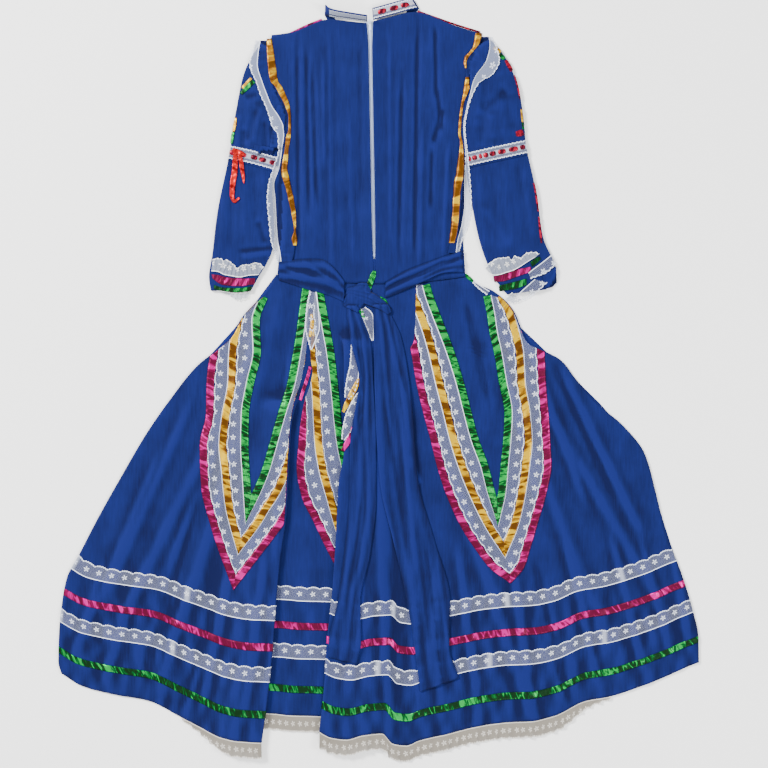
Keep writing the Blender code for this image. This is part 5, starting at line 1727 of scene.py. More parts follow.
@dataclass
class Zip:
    """The coil zip down the centre back: tapes, coil, slider and pull."""

    top: tuple[float, float] = (-13.0, 34.0)
    end: tuple[float, float] = (-6.0, 416.0)
    tape_end: float = 412.0
    tape_half: float = 9.0
    tape_up: float = 2.5
    coil_end: float = 410.0
    coil_up: float = 3.3
    tooth_every: float = 1.5
    tooth: tuple[float, float, float] = (2.3, 0.8, 1.5)
    stop_down: float = 405.0
    stop: tuple[float, float, float] = (3.4, 3.0, 1.6)
    slider_down: float = 33.0
    slider_up: float = 4.4
    slider: tuple[float, float, float] = (6.4, 10.0, 1.8)
    hinge_up: float = 7.0
    bridge_radius: float = 2.1
    bridge: tuple[float, float] = (1.1, 0.7)
    pull_thick: float = 1.0

    def across(self, down: float) -> float:
        """The zip's place across."""
        return blend(self.top[0], self.end[0], (down - self.top[1]) / (self.end[1] - self.top[1]))

    def build(self) -> list[Piece]:
        """Build the whole zip and give its pieces."""
        return [self.tapes(), self.coil(), self.slider_body(), self.pull()]

    def tapes(self) -> Piece:
        """Both woven tapes, as one sheet with fine ribs along it.

        Returns:
            The finished tapes.
        """
        downs = np.linspace(self.top[1] - 2, self.tape_end, 193)[:, None]
        offs = np.linspace(-self.tape_half, self.tape_half, 25)
        ribs = self.tape_up + 0.12 * np.cos(2 * math.pi * offs / 2.2)
        grid = np.stack(np.broadcast_arrays(self.across(downs) + offs, downs, ribs), axis=-1)
        return grid_piece("zip_tapes", grid, Stock.TAPE, thick=0.6, nodes=["zip_tape"])

    def coil(self) -> Piece:
        """The turns of both coils, which lie between each other, and the stop at their end.

        Returns:
            The finished coil.
        """
        working = bmesh.new()
        start = self.top[1] + 2
        for turn in range(round((self.coil_end - start) / self.tooth_every)):
            for side in (-1, 1):
                down = start + (turn + 0.25 * side) * self.tooth_every
                rounded_bar(working, (self.across(down) + 0.55 * side, down, self.coil_up), self.tooth,
                            turn=0.12 * side)
        rounded_bar(working, (self.across(self.stop_down), self.stop_down, self.coil_up), self.stop)
        return mesh_piece("zip_coil", working, Stock.NYLON, nodes=["zip_tape"])

    def slider_body(self) -> Piece:
        """The slider's plate with its shoulders, and the bridge for the pull.

        Returns:
            The finished slider.
        """
        across, down = self.across(self.slider_down), self.slider_down
        working = bmesh.new()
        outline = SLIDER_HALF + tuple((-x, y) for x, y in reversed(SLIDER_HALF))
        working.faces.new([working.verts.new((
            across + x * self.slider[0], down + y * self.slider[1], self.slider_up))
            for x, y in outline])
        thicken(working, self.slider[2])
        bmesh.ops.bevel(working, geom=working.edges[:], offset=0.35, segments=2, affect="EDGES")
        wide_half, thick_half = 0.5 * self.bridge[0], 0.5 * self.bridge[1]
        rings = []
        for angle in np.radians(np.linspace(-24, 204, 17)):
            ring = [(side * wide_half, self.bridge_radius + out * thick_half)
                    for side, out in ((-1, -1), (1, -1), (1, 1), (-1, 1))]
            rings.append([working.verts.new((
                across + x, down - reach * math.cos(angle), self.hinge_up + reach * math.sin(angle)))
                for x, reach in ring])
        for low, high in zip(rings, rings[1:]):
            for k in range(4):
                working.faces.new((low[k], low[(k + 1) % 4], high[(k + 1) % 4], high[k]))
        working.faces.new(rings[0][::-1])
        working.faces.new(rings[-1])
        return mesh_piece("slider", working, Stock.SLIDER, nodes=["zip_slider"])

    def pull(self) -> Piece:
        """The pull: a tapered plate with an eye round the bridge and a slot for a fingernail.

        Returns:
            The finished pull.
        """
        across, down = self.across(self.slider_down), self.slider_down
        working = bmesh.new()
        rows = [[working.verts.new((across + x, down + along, self.hinge_up - 0.5 * self.pull_thick))
                 for x in (-half, -hole, hole, half)] for along, half, hole in PULL_ROWS]
        holes = [bool(hole) for along, half, hole in PULL_ROWS]
        for k, (upper, lower) in enumerate(zip(rows, rows[1:])):
            for left in (0, 1, 2) if holes[k] != holes[k + 1] else (0, 2):
                working.faces.new((upper[left], upper[left + 1], lower[left + 1], lower[left]))
        bmesh.ops.remove_doubles(working, verts=working.verts, dist=JOINED)
        thicken(working, self.pull_thick)
        return mesh_piece("pull", working, Stock.SLIDER, "zip_pull", ["zip_pull"])


# The collar

# Along its seam: across, down and up, and the way from the seam to the other edge
COLLAR_ROWS = [
    (-17, 33, 5.6, 0.0, 7.0, 17.0), (-48, 29, 6.0, 0.0, 8.0, 17.0), (-76, 24.5, 5.6, 0.0, 9.0, 16.0),
    (-85, 22, 3.2, 0.0, 12.0, 10.0), (-83, 25, 0.8, 1.0, 17.0, 0.0), (-66, 58, 0.6, 6.0, 18.0, 0.0),
    (-40, 78, 0.6, 3.0, 18.5, 0.0), (-10, 86, 0.6, 0.0, 19.0, 0.0), (24, 74, 0.6, -3.0, 18.5, 0.0),
    (48, 50, 0.6, -6.0, 18.0, 0.0), (62, 14, 0.8, -8.0, 13.0, 0.0), (66, 11, 3.2, -8.0, 13.0, 1.0),
    (59, 12, 5.8, -9.0, 14.0, 1.0), (30, 20, 6.0, -4.0, 15.5, 1.0), (-8, 30, 5.6, -1.0, 16.5, 1.0),
]


@dataclass
class Collar:
    """The standing collar with beading lace on its outer side and ribbon through the lace."""

    width: float = 19.0
    inset: float = 0.08
    trimmed: float = 0.165
    lace_up: float = 1.2
    puffs_before_end: tuple[float, ...] = (15.0, 36.0, 56.0)
    puff_half: float = 7.5
    ribbon_middle: float = 0.52
    panel: ClothPanel = field(default_factory=lambda: ClothPanel(
        "collar", 2, uneven=0.08, raised=0.0, rests_below=0.3, flat=(0.35, 0.019), held="folded",
        rests_on="cloth_bodice_front"))
    trims: list[Piece] = field(default_factory=list, init=False)

    def build(self) -> None:
        """Build the band and its trims."""
        self.panel.build()
        path = line_through(COLLAR_ROWS, 1.2)
        reach = self.width * unit(path[:, 3:] * (1, -1, 1))
        count = round(self.trimmed * len(path))
        for side, part in (("left", slice(1, count)), ("right", slice(-round(1.2 * count), -1))):
            seam, up = path[part, None, :3], reach[part, None]
            normal = unit(np.cross(np.gradient(seam, axis=0), up))
            normal *= 1 if normal[0, 0, 2] > 0 else -1
            self.trims.append(self.lace(side, seam, up, normal))
            if side == "right":
                self.trims.append(self.ribbon(side, seam, up, normal))

    def lace(self, side: str, seam: Array, up: Array, normal: Array) -> Piece:
        """One stretch of lace on the band's outer side.

        Args:
            side: which half of the collar.
            seam: places along its seam.
            up: the way from the seam to the band's other edge at each.
            normal: the way out of the band at each.

        Returns:
            The finished lace.
        """
        run = run_of(seam[:, 0])
        shares = np.linspace(0, 1, 9)
        inset = self.inset + scalloped(run, 1.5, 6.0) / self.width
        share = blend(inset[:, None], 1 - inset[:, None], shares)
        width = self.width * (1 - 2 * inset)
        return grid_piece(
            f"collar_lace_{side}", seam + up * share[..., None] + self.lace_up * normal,
            Stock.BEADING, strip_coordinates(run[:, None], 1.0 + shares * width[:, None], shares,
                                             width, True), 0.3, [f"collar_trim_{side}"])

    def ribbon(self, side: str, seam: Array, up: Array, normal: Array) -> Piece:
        """The ribbon that runs in and out of the lace.

        Args:
            side: which half of the collar.
            seam: places along its seam.
            up: the way from the seam to the band's other edge at each.
            normal: the way out of the band at each.

        Returns:
            The finished ribbon.
        """
        run = run_of(seam[:, 0])
        puffs = [(run[-1] - before, self.puff_half) for before in self.puffs_before_end]
        ribbon = ThreadedRibbon(f"collar_ribbon_{side}", puffs, 1.6, 3.9, 0.9, 1.5, 1.6)
        off, raised = ribbon.section(run)
        share = self.ribbon_middle + off / self.width
        return ribbon.piece(run, seam + up * share[..., None] + raised[..., None] * normal)


# The sleeves

CUFF_SIZES = {
    Stock.RUFFLED_LACE: {"columns": 11, "lift": 1.0, "gathering": Gathering(1.5, 7.0, 0.2),
                         "scallop": 1.8, "scallop_mm": 7.0},
    Stock.LACE: {"columns": 9, "lift": 1.6, "scallop": 2.2, "scallop_mm": 8.0},
    Stock.CLOTH: {"columns": 9, "lift": 1.6, "thick": 1.0},
}
CUFF_RIBBON = {"columns": 9, "lift": 0.7, "gathering": Gathering(0.5, 8.0)}


@dataclass
class Sleeve:
    """One sleeve: the puff, the forearm, the band between them and the trims of the cuff.

    A cuff's trim is its name, its stock, and the lines of its sewn edge and of its other one.
    """

    side: str
    upper: ClothPanel
    lower: ClothPanel
    band: Table
    puffs: Table
    peeks: Sequence[Strip]
    cuffs: Sequence[tuple[str, Stock, Table, Table]]
    bow: Sequence[Strip] = ()
    join_half: float = 14.0
    band_half: float = 10.5
    seam: Piece | None = field(default=None, init=False)
    upper_trims: list[Piece] = field(default_factory=list, init=False)
    lower_trims: list[Piece] = field(default_factory=list, init=False)

    def build(self) -> None:
        """Build the sleeve."""
        self.upper.build()
        self.lower.build()
        self.seam = self.join(Ground([self.upper.piece, self.lower.piece]))
        under = [self.upper.piece, self.lower.piece, self.seam]
        ground = Ground(under)
        for peek in self.peeks:
            self.upper_trims.append(peek.lay(ground, spread=4.0 if peek.stock is Stock.CLOTH else 1.5))
        self.upper_trims += self.threaded_band(ground)
        for name, stock, near, far in self.cuffs:
            self.lower_trims.append(self.cuff(name, stock, near, far, ground))
        if self.bow:
            over = Ground([*under, *self.upper_trims])
            self.upper_trims += [ribbon.lay(over, lift=1.1, gathering=Gathering(0.9, 26.0))
                                 for ribbon in self.bow]

    def join(self, ground: Ground) -> Piece:
        """The turned-in cloth where both parts are sewn together, below the band.

        Args:
            ground: the faces of both parts.

        Returns:
            The finished cloth.
        """
        line = line_through(self.band, 1.5)
        offs = np.linspace(-self.join_half, self.join_half, 13)
        grid = np.stack([beside(line, off) for off in offs], axis=1)
        ends = ground.heights(grid[:, [0, -1]], 2.0)
        level = blend(ends[:, :1], ends[:, 1:], np.linspace(0, 1, len(offs)))
        level = np.maximum(smoothed(smoothed(np.maximum(level, 1.8))), ground.heights(grid, 1.6))
        return grid_piece(f"cloth_seam_{self.side}", np.dstack([grid, level + 0.35]), Stock.CLOTH,
                          thick=0.8, nodes=[f"sleeve_band_{self.side}"])

    def threaded_band(self, ground: Ground) -> list[Piece]:
        """Beading lace round the sleeve with a ribbon that runs in and out of it.

        Args:
            ground: what it lies on.

        Returns:
            The lace and the ribbon.
        """
        line = line_through(self.band, 1.0)
        near, far = (beside(line, side * self.band_half) for side in (-1, 1))
        lace = Trim(f"band_lace_{self.side}", Stock.BEADING, near, far, ground,
                    [f"sleeve_band_{self.side}"], columns=13, lift=1.3, scallop=1.6,
                    scallop_mm=6.5, near_scalloped=True, spread=1.4).build()
        ribbon = ThreadedRibbon(f"band_ribbon_{self.side}", self.puffs, 1.8, 3.8, 0.5, 1.6, 1.7)
        off, raised = ribbon.section(run_of(line))
        grid = np.stack([beside(line, column) for column in off.T], axis=1)
        up = ground.heights(grid, 1.4) + raised
        return [lace, ribbon.piece(run_of(line), np.dstack([grid, up]))]

    @staticmethod
    def cuff(name: str, stock: Stock, near: Table, far: Table, ground: Ground) -> Piece:
        """One trim of the cuff between its sewn edge and its other one.

        Args:
            name: its solid, or a name of its own where it has none.
            stock: what it is made of.
            near: its sewn edge, as rows of across and down.
            far: its other edge.
            ground: what it lies on.

        Returns:
            The finished trim.
        """
        seam, edge = line_through(near, 0.9), line_through(far, 0.9)
        count = max(len(seam), len(edge))
        return Trim(name.replace("cuff_", "wrist_"), stock, even(seam, count), even(edge, count),
                    ground, [name] if name.startswith("cuff_") else [], spread=1.4,
                    **CUFF_SIZES.get(stock, CUFF_RIBBON)).build()

    def declare(self) -> None:
        """Hand both parts with their trims to ClothPanel.declare, which states nothing."""
        self.upper.declare([self.seam, *self.upper_trims])
        self.lower.declare(self.lower_trims)


sleeve_panel = partial(ClothPanel, levels=3, raised=1.4, rests_below=1.2)


def left_sleeve() -> Sleeve:
    """The left sleeve, which has the bow.

    Returns:
        The sleeve, ready to be built.
    """
    upper = sleeve_panel("sleeve_upper_left", creases=(
        (-195, 172, -209, 222, 11, -1.3), (-187, 170, -199, 225, 11, 1.0), (-181, 192, -180, 240, 10, -1.4),
        (-170, 198, -167, 244, 10, -1.3), (-211, 153, -193, 149, 11, -1.0), (-222, 180, -226, 236, 11, 1.0),
        (-204, 120, -192, 160, 13, 0.9), (-214, 205, -217, 238, 10, -1.1)),
        flat=(0.14, 0.17), area=0.020, held="gathered", rests_on="cloth_bodice_front")
    lower = sleeve_panel("sleeve_lower_left", creases=(
        (-192, 352, -180, 386, 11, -1.3), (-222, 399, -168, 394, 8, -0.9), (-216, 408, -172, 401, 10, 1.0),
        (-244, 272, -252, 400, 14, 1.0), (-232, 280, -236, 390, 11, -0.9), (-214, 270, -214, 370, 15, 1.0),
        (-200, 268, -196, 350, 11, -0.8), (-184, 270, -178, 380, 14, 0.9)),
        flat=(0.19, 0.216), area=0.036, rests_on="cloth_sleeve_upper_left")
    peeks = (
        Strip("peek_green_shoulder_left", Stock.GREEN_ROW, [
            (-219, 148, 5), (-208, 137, 7), (-198, 128, 6)]),
        Strip("peek_gold_shoulder_left", Stock.GOLD, [(-217, 139, 4), (-209, 130, 4), (-202, 123, 4)]),
        Strip("cloth_puff_end_left", Stock.CLOTH, [(-198, 234, 8), (-184, 238, 14), (-168, 243, 18)]),
        Strip("peek_gold_side_left", Stock.GOLD, [(-227, 186, 3), (-229, 198, 5), (-231, 208, 4)]),
        Strip("peek_green_side_left", Stock.GREEN, [(-231, 209, 4), (-233, 218, 5), (-234, 227, 4)]),
    )
    cuffs = (
        ("cuff_lace_left", Stock.RUFFLED_LACE,
         [(-266, 431), (-256, 432), (-245, 437), (-234, 439), (-221, 441), (-205, 438), (-191, 437)],
         [(-264, 412), (-258, 410), (-251, 410), (-246, 414), (-242, 412), (-235, 416), (-229, 421),
          (-224, 426), (-219, 422), (-211, 420), (-205, 420), (-197, 417), (-189, 418), (-182, 424)]),
        ("cuff_ribbon_pink_left", Stock.PINK_CUFF,
         [(-266, 436), (-256, 437), (-240, 441), (-213, 443), (-196, 442)],
         [(-264, 443), (-256, 449), (-248, 453), (-220, 455), (-206, 453), (-197, 452)]),
        ("cuff_ribbon_green_left", Stock.GREEN_CUFF,
         [(-262, 453), (-248, 457), (-220, 458), (-201, 455)],
         [(-262, 460), (-246, 463), (-228, 465), (-203, 463)]),
        ("cuff_hem_lace_left", Stock.RUFFLED_LACE,
         [(-258, 462), (-240, 464), (-226, 466), (-205, 464)],
         [(-250, 465), (-238, 470), (-224, 479), (-208, 475)]),
    )
    bow = (
        Strip("bow_tail_long", Stock.CORAL, [
            (-227, 240, 5), (-228, 254, 8), (-229, 272, 9), (-232, 292, 8.5), (-233, 310, 7),
            (-229, 320, 5), (-221, 314, 3)], "sleeve_bow_left"),
        Strip("bow_tail_short", Stock.CORAL, [
            (-222, 242, 5), (-219, 254, 7), (-217, 268, 6.5), (-215, 280, 5), (-214, 291, 1.5)],
              "sleeve_bow_left"),
        Strip("bow_knot", Stock.CORAL, [(-232, 237, 5), (-226, 240, 8), (-219, 243, 8), (-213, 245, 5)],
              "sleeve_bow_left"),
    )
    return Sleeve("left", upper, lower, [(-237, 241), (-200, 249), (-163, 259)],
                  [(4.5, 6.0), (21.5, 6.5), (40.0, 5.8), (54.0, 6.4), (71.0, 6.0)], peeks, cuffs, bow)


def right_sleeve() -> Sleeve:
    """The right sleeve, with its cuff turned over.

    Returns:
        The sleeve, ready to be built.
    """
    upper = sleeve_panel("sleeve_upper_right", creases=(
        (172, 118, 166, 214, 15, -1.2), (161, 130, 158, 200, 15, 0.8), (166, 172, 206, 146, 15, -1.1),
        (198, 138, 216, 206, 15, -1.1), (192, 150, 200, 216, 18, 0.8), (160, 180, 164, 226, 14, -0.8),
        (181, 180, 184, 220, 15, 0.8), (196, 110, 214, 150, 20, 0.8)),
        flat=(0.16, 0.182), area=0.027, held="gathered", rests_on="cloth_bodice_front")
    lower = sleeve_panel("sleeve_lower_right", creases=(
        (160, 270, 170, 390, 15, 1.0), (182, 262, 190, 380, 13, -0.8), (200, 262, 214, 390, 15, 1.0),
        (222, 260, 236, 380, 13, -0.8),
        (170, 330, 210, 392, 17, 0.9), (232, 260, 250, 380, 13, 0.9)),
        flat=(0.23, 0.232), area=0.045, rests_on="cloth_sleeve_upper_right")
    peeks = (
        Strip("peek_gold_shoulder_right", Stock.GOLD, [(184, 74, 5), (190, 77, 7), (196, 81, 6)]),
        Strip("peek_green_shoulder_right", Stock.GREEN_ROW, [(192, 84, 5), (197, 88, 7), (202, 92, 5)]),
        Strip("peek_red_shoulder_right", Stock.RED, [(204, 94, 4), (209, 102, 7), (214, 111, 6)]),
        Strip("peek_red_side_right", Stock.RED, [(218, 118, 2.5), (223, 136, 2.5), (227, 156, 2.5)]),
        Strip("peek_gold_side_right", Stock.GOLD, [(229, 172, 2.5), (230, 184, 3), (231, 193, 3)]),
        Strip("peek_green_side_right", Stock.GREEN_ROW, [(231, 194, 3), (232, 204, 3)]),
        Strip("peek_red_band_right", Stock.RED, [(220, 212, 7), (226, 211, 10), (232, 209, 9)]),
        Strip("peek_red_forearm_right", Stock.RED, [(249, 290, 2.5), (253, 312, 3), (256, 336, 2.5)]),
        Strip("peek_red_wrist_right", Stock.RED, [(257, 344, 2.5), (259, 366, 3), (261, 386, 2.5)]),
    )
    cuffs = (
        ("cuff_lace_right", Stock.RUFFLED_LACE,
         [(172, 428), (185, 438), (194, 437), (203, 434), (216, 430), (230, 422), (239, 416), (252, 408)],
         [(171, 424), (176, 419), (183, 414), (190, 410), (198, 409), (209, 408), (213, 413), (218, 406),
          (227, 409), (238, 401), (250, 400), (258, 403)]),
        ("cuff_ribbon_pink_right", Stock.PINK_CUFF,
         [(184, 440), (201, 436), (221, 429), (244, 424)],
         [(186, 448), (200, 447), (221, 440), (244, 432)]),
        ("cuff_ribbon_green_right", Stock.GREEN_CUFF,
         [(193, 454), (210, 450), (237, 443)], [(194, 463), (216, 460), (237, 453)]),
        ("green_bit_right", Stock.GREEN_CUFF, [(243, 417), (251, 411), (258, 407)],
         [(246, 424), (254, 418), (260, 412)]),
        ("turned_cuff_corner", Stock.CLOTH, [(263, 439), (274, 432), (285, 423)],
         [(268, 459), (277, 457), (286, 449)]),
        ("turned_lace_upper", Stock.LACE, [(240, 434), (246, 429), (262, 417), (277, 405)],
         [(244, 444), (252, 441), (268, 435), (285, 420)]),
        ("cuff_hem_lace_right", Stock.LACE, [(222, 469), (232, 460), (241, 452), (250, 444)],
         [(234, 478), (246, 471), (260, 460), (271, 449)]),
        ("turned_lace_end", Stock.RUFFLED_LACE, [(203, 474), (208, 470), (214, 465)],
         [(207, 481), (218, 483), (232, 478)]),
    )
    return Sleeve("right", upper, lower, [(141, 253), (190, 242), (237, 232)],
                  [(5.5, 2.6), (13.5, 4.5), (23.0, 2.8), (32.0, 4.4), (43.0, 5.6), (58.0, 6.8),
                   (77.0, 8.0), (92.0, 4.6)], peeks, cuffs)


# The wings over the armholes

WING_LEFT = [
    (62, -172, -188, -196), (101, -169, -192, -206), (130, -165, -184, -195), (149, -152, -177, -189),
    (166, -144.5, -170, -181), (186, -141.5, -157, -174), (200, -141.5, -151, -170),
    (214, -144, -150, -161), (235, -147, -153, -160), (266, -148.5, -158, -168), (293, -142, -166, -176),
    (315, -140, -164, -178), (352, -134, -162, -175), (381, -132.5, -160, -172), (402, -134, -156, -166),
    (418, -138, -154, -162),
]
WING_RIGHT = [
    (56, 157, 177, 183), (70, 154, 178, 189), (94, 139.5, 173, 195), (117, 140.5, 157, 184),
    (130, 140, 151, 163), (147, 137.5, 147, 153), (170, 132.5, 141, 145), (202, 129.5, 136, 140),
    (242, 130, 139, 144), (285, 124.5, 138, 148), (322, 120, 138, 150), (354, 118.5, 134, 146),
    (386, 115, 126, 134), (402, 112, 124, 131),
]
WING_RIBBON_LEFT = [
    (59, -178, -170), (98, -176, -164), (129, -171, -159), (134, -166, -155), (150, -157, -147),
    (168, -148, -141), (186, -143, -139), (203, -143, -139), (220, -147, -140), (237, -149, -143),
    (254, -152, -144), (268, -155, -145), (281, -153, -142), (300, -147, -138), (318, -143, -134),
    (345, -137, -131), (366, -134, -131), (380, -138, -129), (390, -135, -130),
]
WING_RIBBON_RIGHT_TOP = [
    (50, 156, 167), (65, 153, 163), (74, 151, 157), (82, 145, 150), (89, 138, 145), (98, 137, 141),
    (107, 139, 141),
]
WING_RIBBON_RIGHT = [
    (121, 140, 145), (138, 137, 146), (147, 136, 143), (156, 134, 139), (174, 131, 135), (192, 129, 133),
    (211, 128, 132), (226, 131, 135), (238, 130, 136), (256, 127, 138), (274, 125, 137), (292, 121, 134),
    (312, 120, 131), (335, 119, 130), (356, 117, 128), (372, 115, 126), (386, 113, 122),
]


@dataclass
class Wing:
    """A narrow flounce over one armhole, with lace on its edge and gold ribbon along its root.

    Its rows are the distance down, and then its root, its edge and its lace's edge across.
    """

    side: str
    rows: Table
    ribbons: Sequence[Table]
    flat: tuple[float, float]
    area: float
    cloth: Piece | None = field(default=None, init=False)
    trims: list[Piece] = field(default_factory=list, init=False)

    def build(self, under: Pieces) -> None:
        """Lay the flounce and its trims on what is under it.

        Args:
            under: the finished pieces that it lies on.
        """
        ground = Ground(under)
        root, edge, lace_edge = edges_of(self.rows, 1.5)
        self.cloth = Trim(f"cloth_wing_{self.side}", Stock.CLOTH, root, edge, ground,
                          [f"wing_{self.side}"], columns=12, lift=1.6, thick=1.2,
                          gathering=Gathering(0.35, 30.0), spread=1.6).build()
        self.trims.append(Trim(
            f"edging_wing_{self.side}", Stock.WING_LACE, edge, lace_edge, ground,
            [f"wing_lace_{self.side}"], columns=9, lift=1.2, scallop=2.0, scallop_mm=9.0,
            spread=1.6).build())
        over = Ground([self.cloth, *under])
        for number, table in enumerate(self.ribbons):
            self.trims.append(Trim(
                f"ribbon_wing_{self.side}_{number}", Stock.GOLD_ROOT, *edges_of(table, 1.2), over,
                [f"wing_ribbon_{self.side}"], columns=6, lift=0.6,
                gathering=Gathering(0.4, 14.0)).build())

    def declare(self) -> None:
        """Does nothing; the cut is not stated here."""


def edges_of(table: Table, spacing: float) -> list[Array]:
    """The lines of a table's columns, (across, down), from rows that begin with the place down."""
    rows = line_through(table, spacing)
    return [rows[:, [k, 0]] for k in range(1, rows.shape[1])]


# The sash

SASH_TIE_LEFT = [
    (-158, 416, 446), (-135, 413, 453), (-110, 411, 461), (-90, 412, 466), (-72, 424, 472), (-54, 446, 480),
]
SASH_TIE_RIGHT = [(12, 449, 474), (40, 432, 463), (70, 420, 449), (110, 406, 433), (136, 398, 433)]
SASH_TAIL_LEFT = [
    (488, -50, -34), (500, -50, -28), (520, -47, -19), (541, -44, -12), (605, -30, -8), (702, -44, -3),
    (797, -46, -3), (880, -54, -12), (957, -64, -28), (1021, -78, -27), (1052, -80, -34),
]
SASH_TAIL_RIGHT = [
    (486, -6, 16), (498, -8, 20), (536, -7, 37), (634, -5, 53), (765, 3, 64), (860, 24, 90), (957, 46, 115),
    (1029, 58, 114), (1092, 68, 129),
]
TIE_CREASES = (
    (-150, 423, -98, 438, 8, -1.5), (-146, 430, -70, 452, 8, 1.4), (-144, 446, -92, 456, 7, -1.4),
    (-118, 418, -62, 452, 7, 1.2), (-80, 464, -52, 466, 6, -1.2), (11, 458, 130, 412, 7, -1.7),
    (12, 452, 132, 404, 6, 1.2), (30, 460, 128, 426, 7, 1.4), (64, 438, 108, 414, 6, -1.4),
)
TAIL_CREASES = (
    (-44, 500, -34, 700, 8, 1.2), (-30, 520, -22, 780, 9, -1.0), (-18, 600, -14, 860, 8, 1.0),
    (-36, 740, -60, 1040, 9, 1.0), (-24, 780, -44, 1040, 9, -1.0), (4, 500, 20, 700, 8, 1.3),
    (16, 496, 44, 620, 7, -1.4), (26, 520, 50, 700, 8, 1.0), (34, 640, 60, 900, 9, 1.2),
    (14, 660, 50, 900, 10, -1.0), (56, 840, 84, 1080, 10, 1.2), (74, 860, 104, 1080, 9, -1.0),
    (92, 880, 116, 1060, 8, 1.0),
)


@dataclass
class Sash:
    """The sash, tied behind: two ties from the side seams, the knot and two tails.

    A strand's rows are across, down, width and height. A cut is what shows of its piece: its
    width and length in metres and its area in square metres.
    """

    end_slant: float = 22.0
    end_mm: float = 70.0
    wall: float = 1.2
    clear: float = 0.3
    settling: int = 24
    strands: tuple[tuple[str, Table], ...] = (
        ("knot_under", ((-14, 456, 14, 1.0), (-24, 462, 28, 3.0), (-36, 476, 32, 3.0),
                        (-44, 492, 26, 1.0))),
        ("knot_over", ((-50, 462, 10, 1.0), (-36, 466, 20, 3.2), (-16, 474, 22, 4.0),
                       (4, 484, 17, 2.8), (20, 497, 10, 0.8))))
    cuts: tuple[tuple[str, float, float, float], ...] = (
        ("sash_tie_left", 0.11, 0.05, 0.005), ("sash_tie_right", 0.14, 0.032, 0.0039),
        ("sash_tail_left", 0.045, 0.57, 0.0224), ("sash_tail_right", 0.065, 0.617, 0.0373),
        ("knot_over", 0.025, 0.09, 0.0016), ("knot_under", 0.03, 0.06, 0.0015))
    pieces: dict[str, Piece] = field(default_factory=dict, init=False)

    def build(self, under: Pieces) -> None:
        """Lay the ties, then the tails and the knot over them.

        Args:
            under: the finished pieces that it lies on.
        """
        ground = Ground(under)
        for name, table in (("sash_tie_left", SASH_TIE_LEFT), ("sash_tie_right", SASH_TIE_RIGHT)):
            rows = line_through(table, 2.4)[:, :, None]
            down = blend(rows[:, 1], rows[:, 2], np.linspace(0, 1, 16))
            across = np.broadcast_to(rows[:, 0], down.shape)
            self.lay(name, np.dstack([across, down]), ground, TIE_CREASES, 2.0)
        ground = Ground([*under, *self.pieces.values()])
        shares = np.linspace(0, 1, 24)
        for name, table, slant in (("sash_tail_left", SASH_TAIL_LEFT, 0.5),
                                   ("sash_tail_right", SASH_TAIL_RIGHT, -1.0)):
            rows = line_through(table, 3.0)[:, :, None]
            at_end = ease((rows[:, 0] - rows[-1, 0]) / self.end_mm + 1)
            down = rows[:, 0] + self.end_slant * slant * (shares - 0.5) * at_end
            self.lay(name, np.dstack([blend(rows[:, 1], rows[:, 2], shares), down]), ground,
                     TAIL_CREASES, 1.8)
        ground = Ground([*under, *self.pieces.values()])
        for name, rows in self.strands:
            self.strand(name, rows, ground)

    def lay(self, node: str, grid: Array, ground: Ground, creases: Table, swell: float) -> None:
        """Lay one doubled strip of cloth down with two soft folds along it.

        Args:
            node: the solid that it replaces.
            grid: (rows, columns, 2) places.
            ground: what it lies on.
            creases: its creases, as rows.
            swell: how high its folds stand, in millimetres.
        """
        found = up = ground.heights(grid, 1.6)
        for _ in range(self.settling):
            up = np.maximum(found, smoothed(up))
        shares = np.linspace(0, 1, grid.shape[1])[None, :]
        rows = np.arange(grid.shape[0])[:, None]
        folds = 0.5 - 0.5 * np.cos(4 * math.pi * shares + 0.05 * rows)
        lift = swell * folds * np.sqrt(np.sin(math.pi * np.clip(shares, 0.04, 0.96)))
        lift = lift + relief_of(creases, grid[..., 0], grid[..., 1])
        lift += unevenness(grid[..., 0], grid[..., 1], 0.22)
        up = up + self.clear + self.wall + np.maximum(lift, 0.0)
        self.pieces[node] = grid_piece(f"cloth_{node}", np.dstack([grid, up]), Stock.CLOTH,
                                       thick=self.wall, nodes=[node])

    def strand(self, name: str, rows: Table, ground: Ground) -> None:
        """Lay one strand of the knot.

        Args:
            name: the strand's name.
            rows: across, down, width and height along it.
            ground: what it lies on.
        """
        line = line_through(rows, 1.2)
        shares = np.linspace(-1, 1, 25)
        grid = np.stack([beside(line[:, :2], 0.5 * share * line[:, 2]) for share in shares], axis=1)
        dome = np.sqrt(1 - 0.98 * shares ** 2)
        pleats = 0.16 * np.sin(2 * math.pi * (1.7 * shares + 0.02 * run_of(line[:, :2])[:, None]))
        found = ground.heights(grid, 1.6)
        up = np.maximum(found, smoothed(smoothed(found))) + self.clear + self.wall
        up += line[:, 3:] * dome + pleats * dome * ease(line[:, 3:] / 4)
        self.pieces[name] = grid_piece(name, np.dstack([grid, up]), Stock.CLOTH, thick=self.wall,
                                       nodes=["sash_knot"])

    def declare(self) -> None:
        """Does nothing; the cut of each piece is not stated here."""


# What shows of the trims that lie mostly hidden

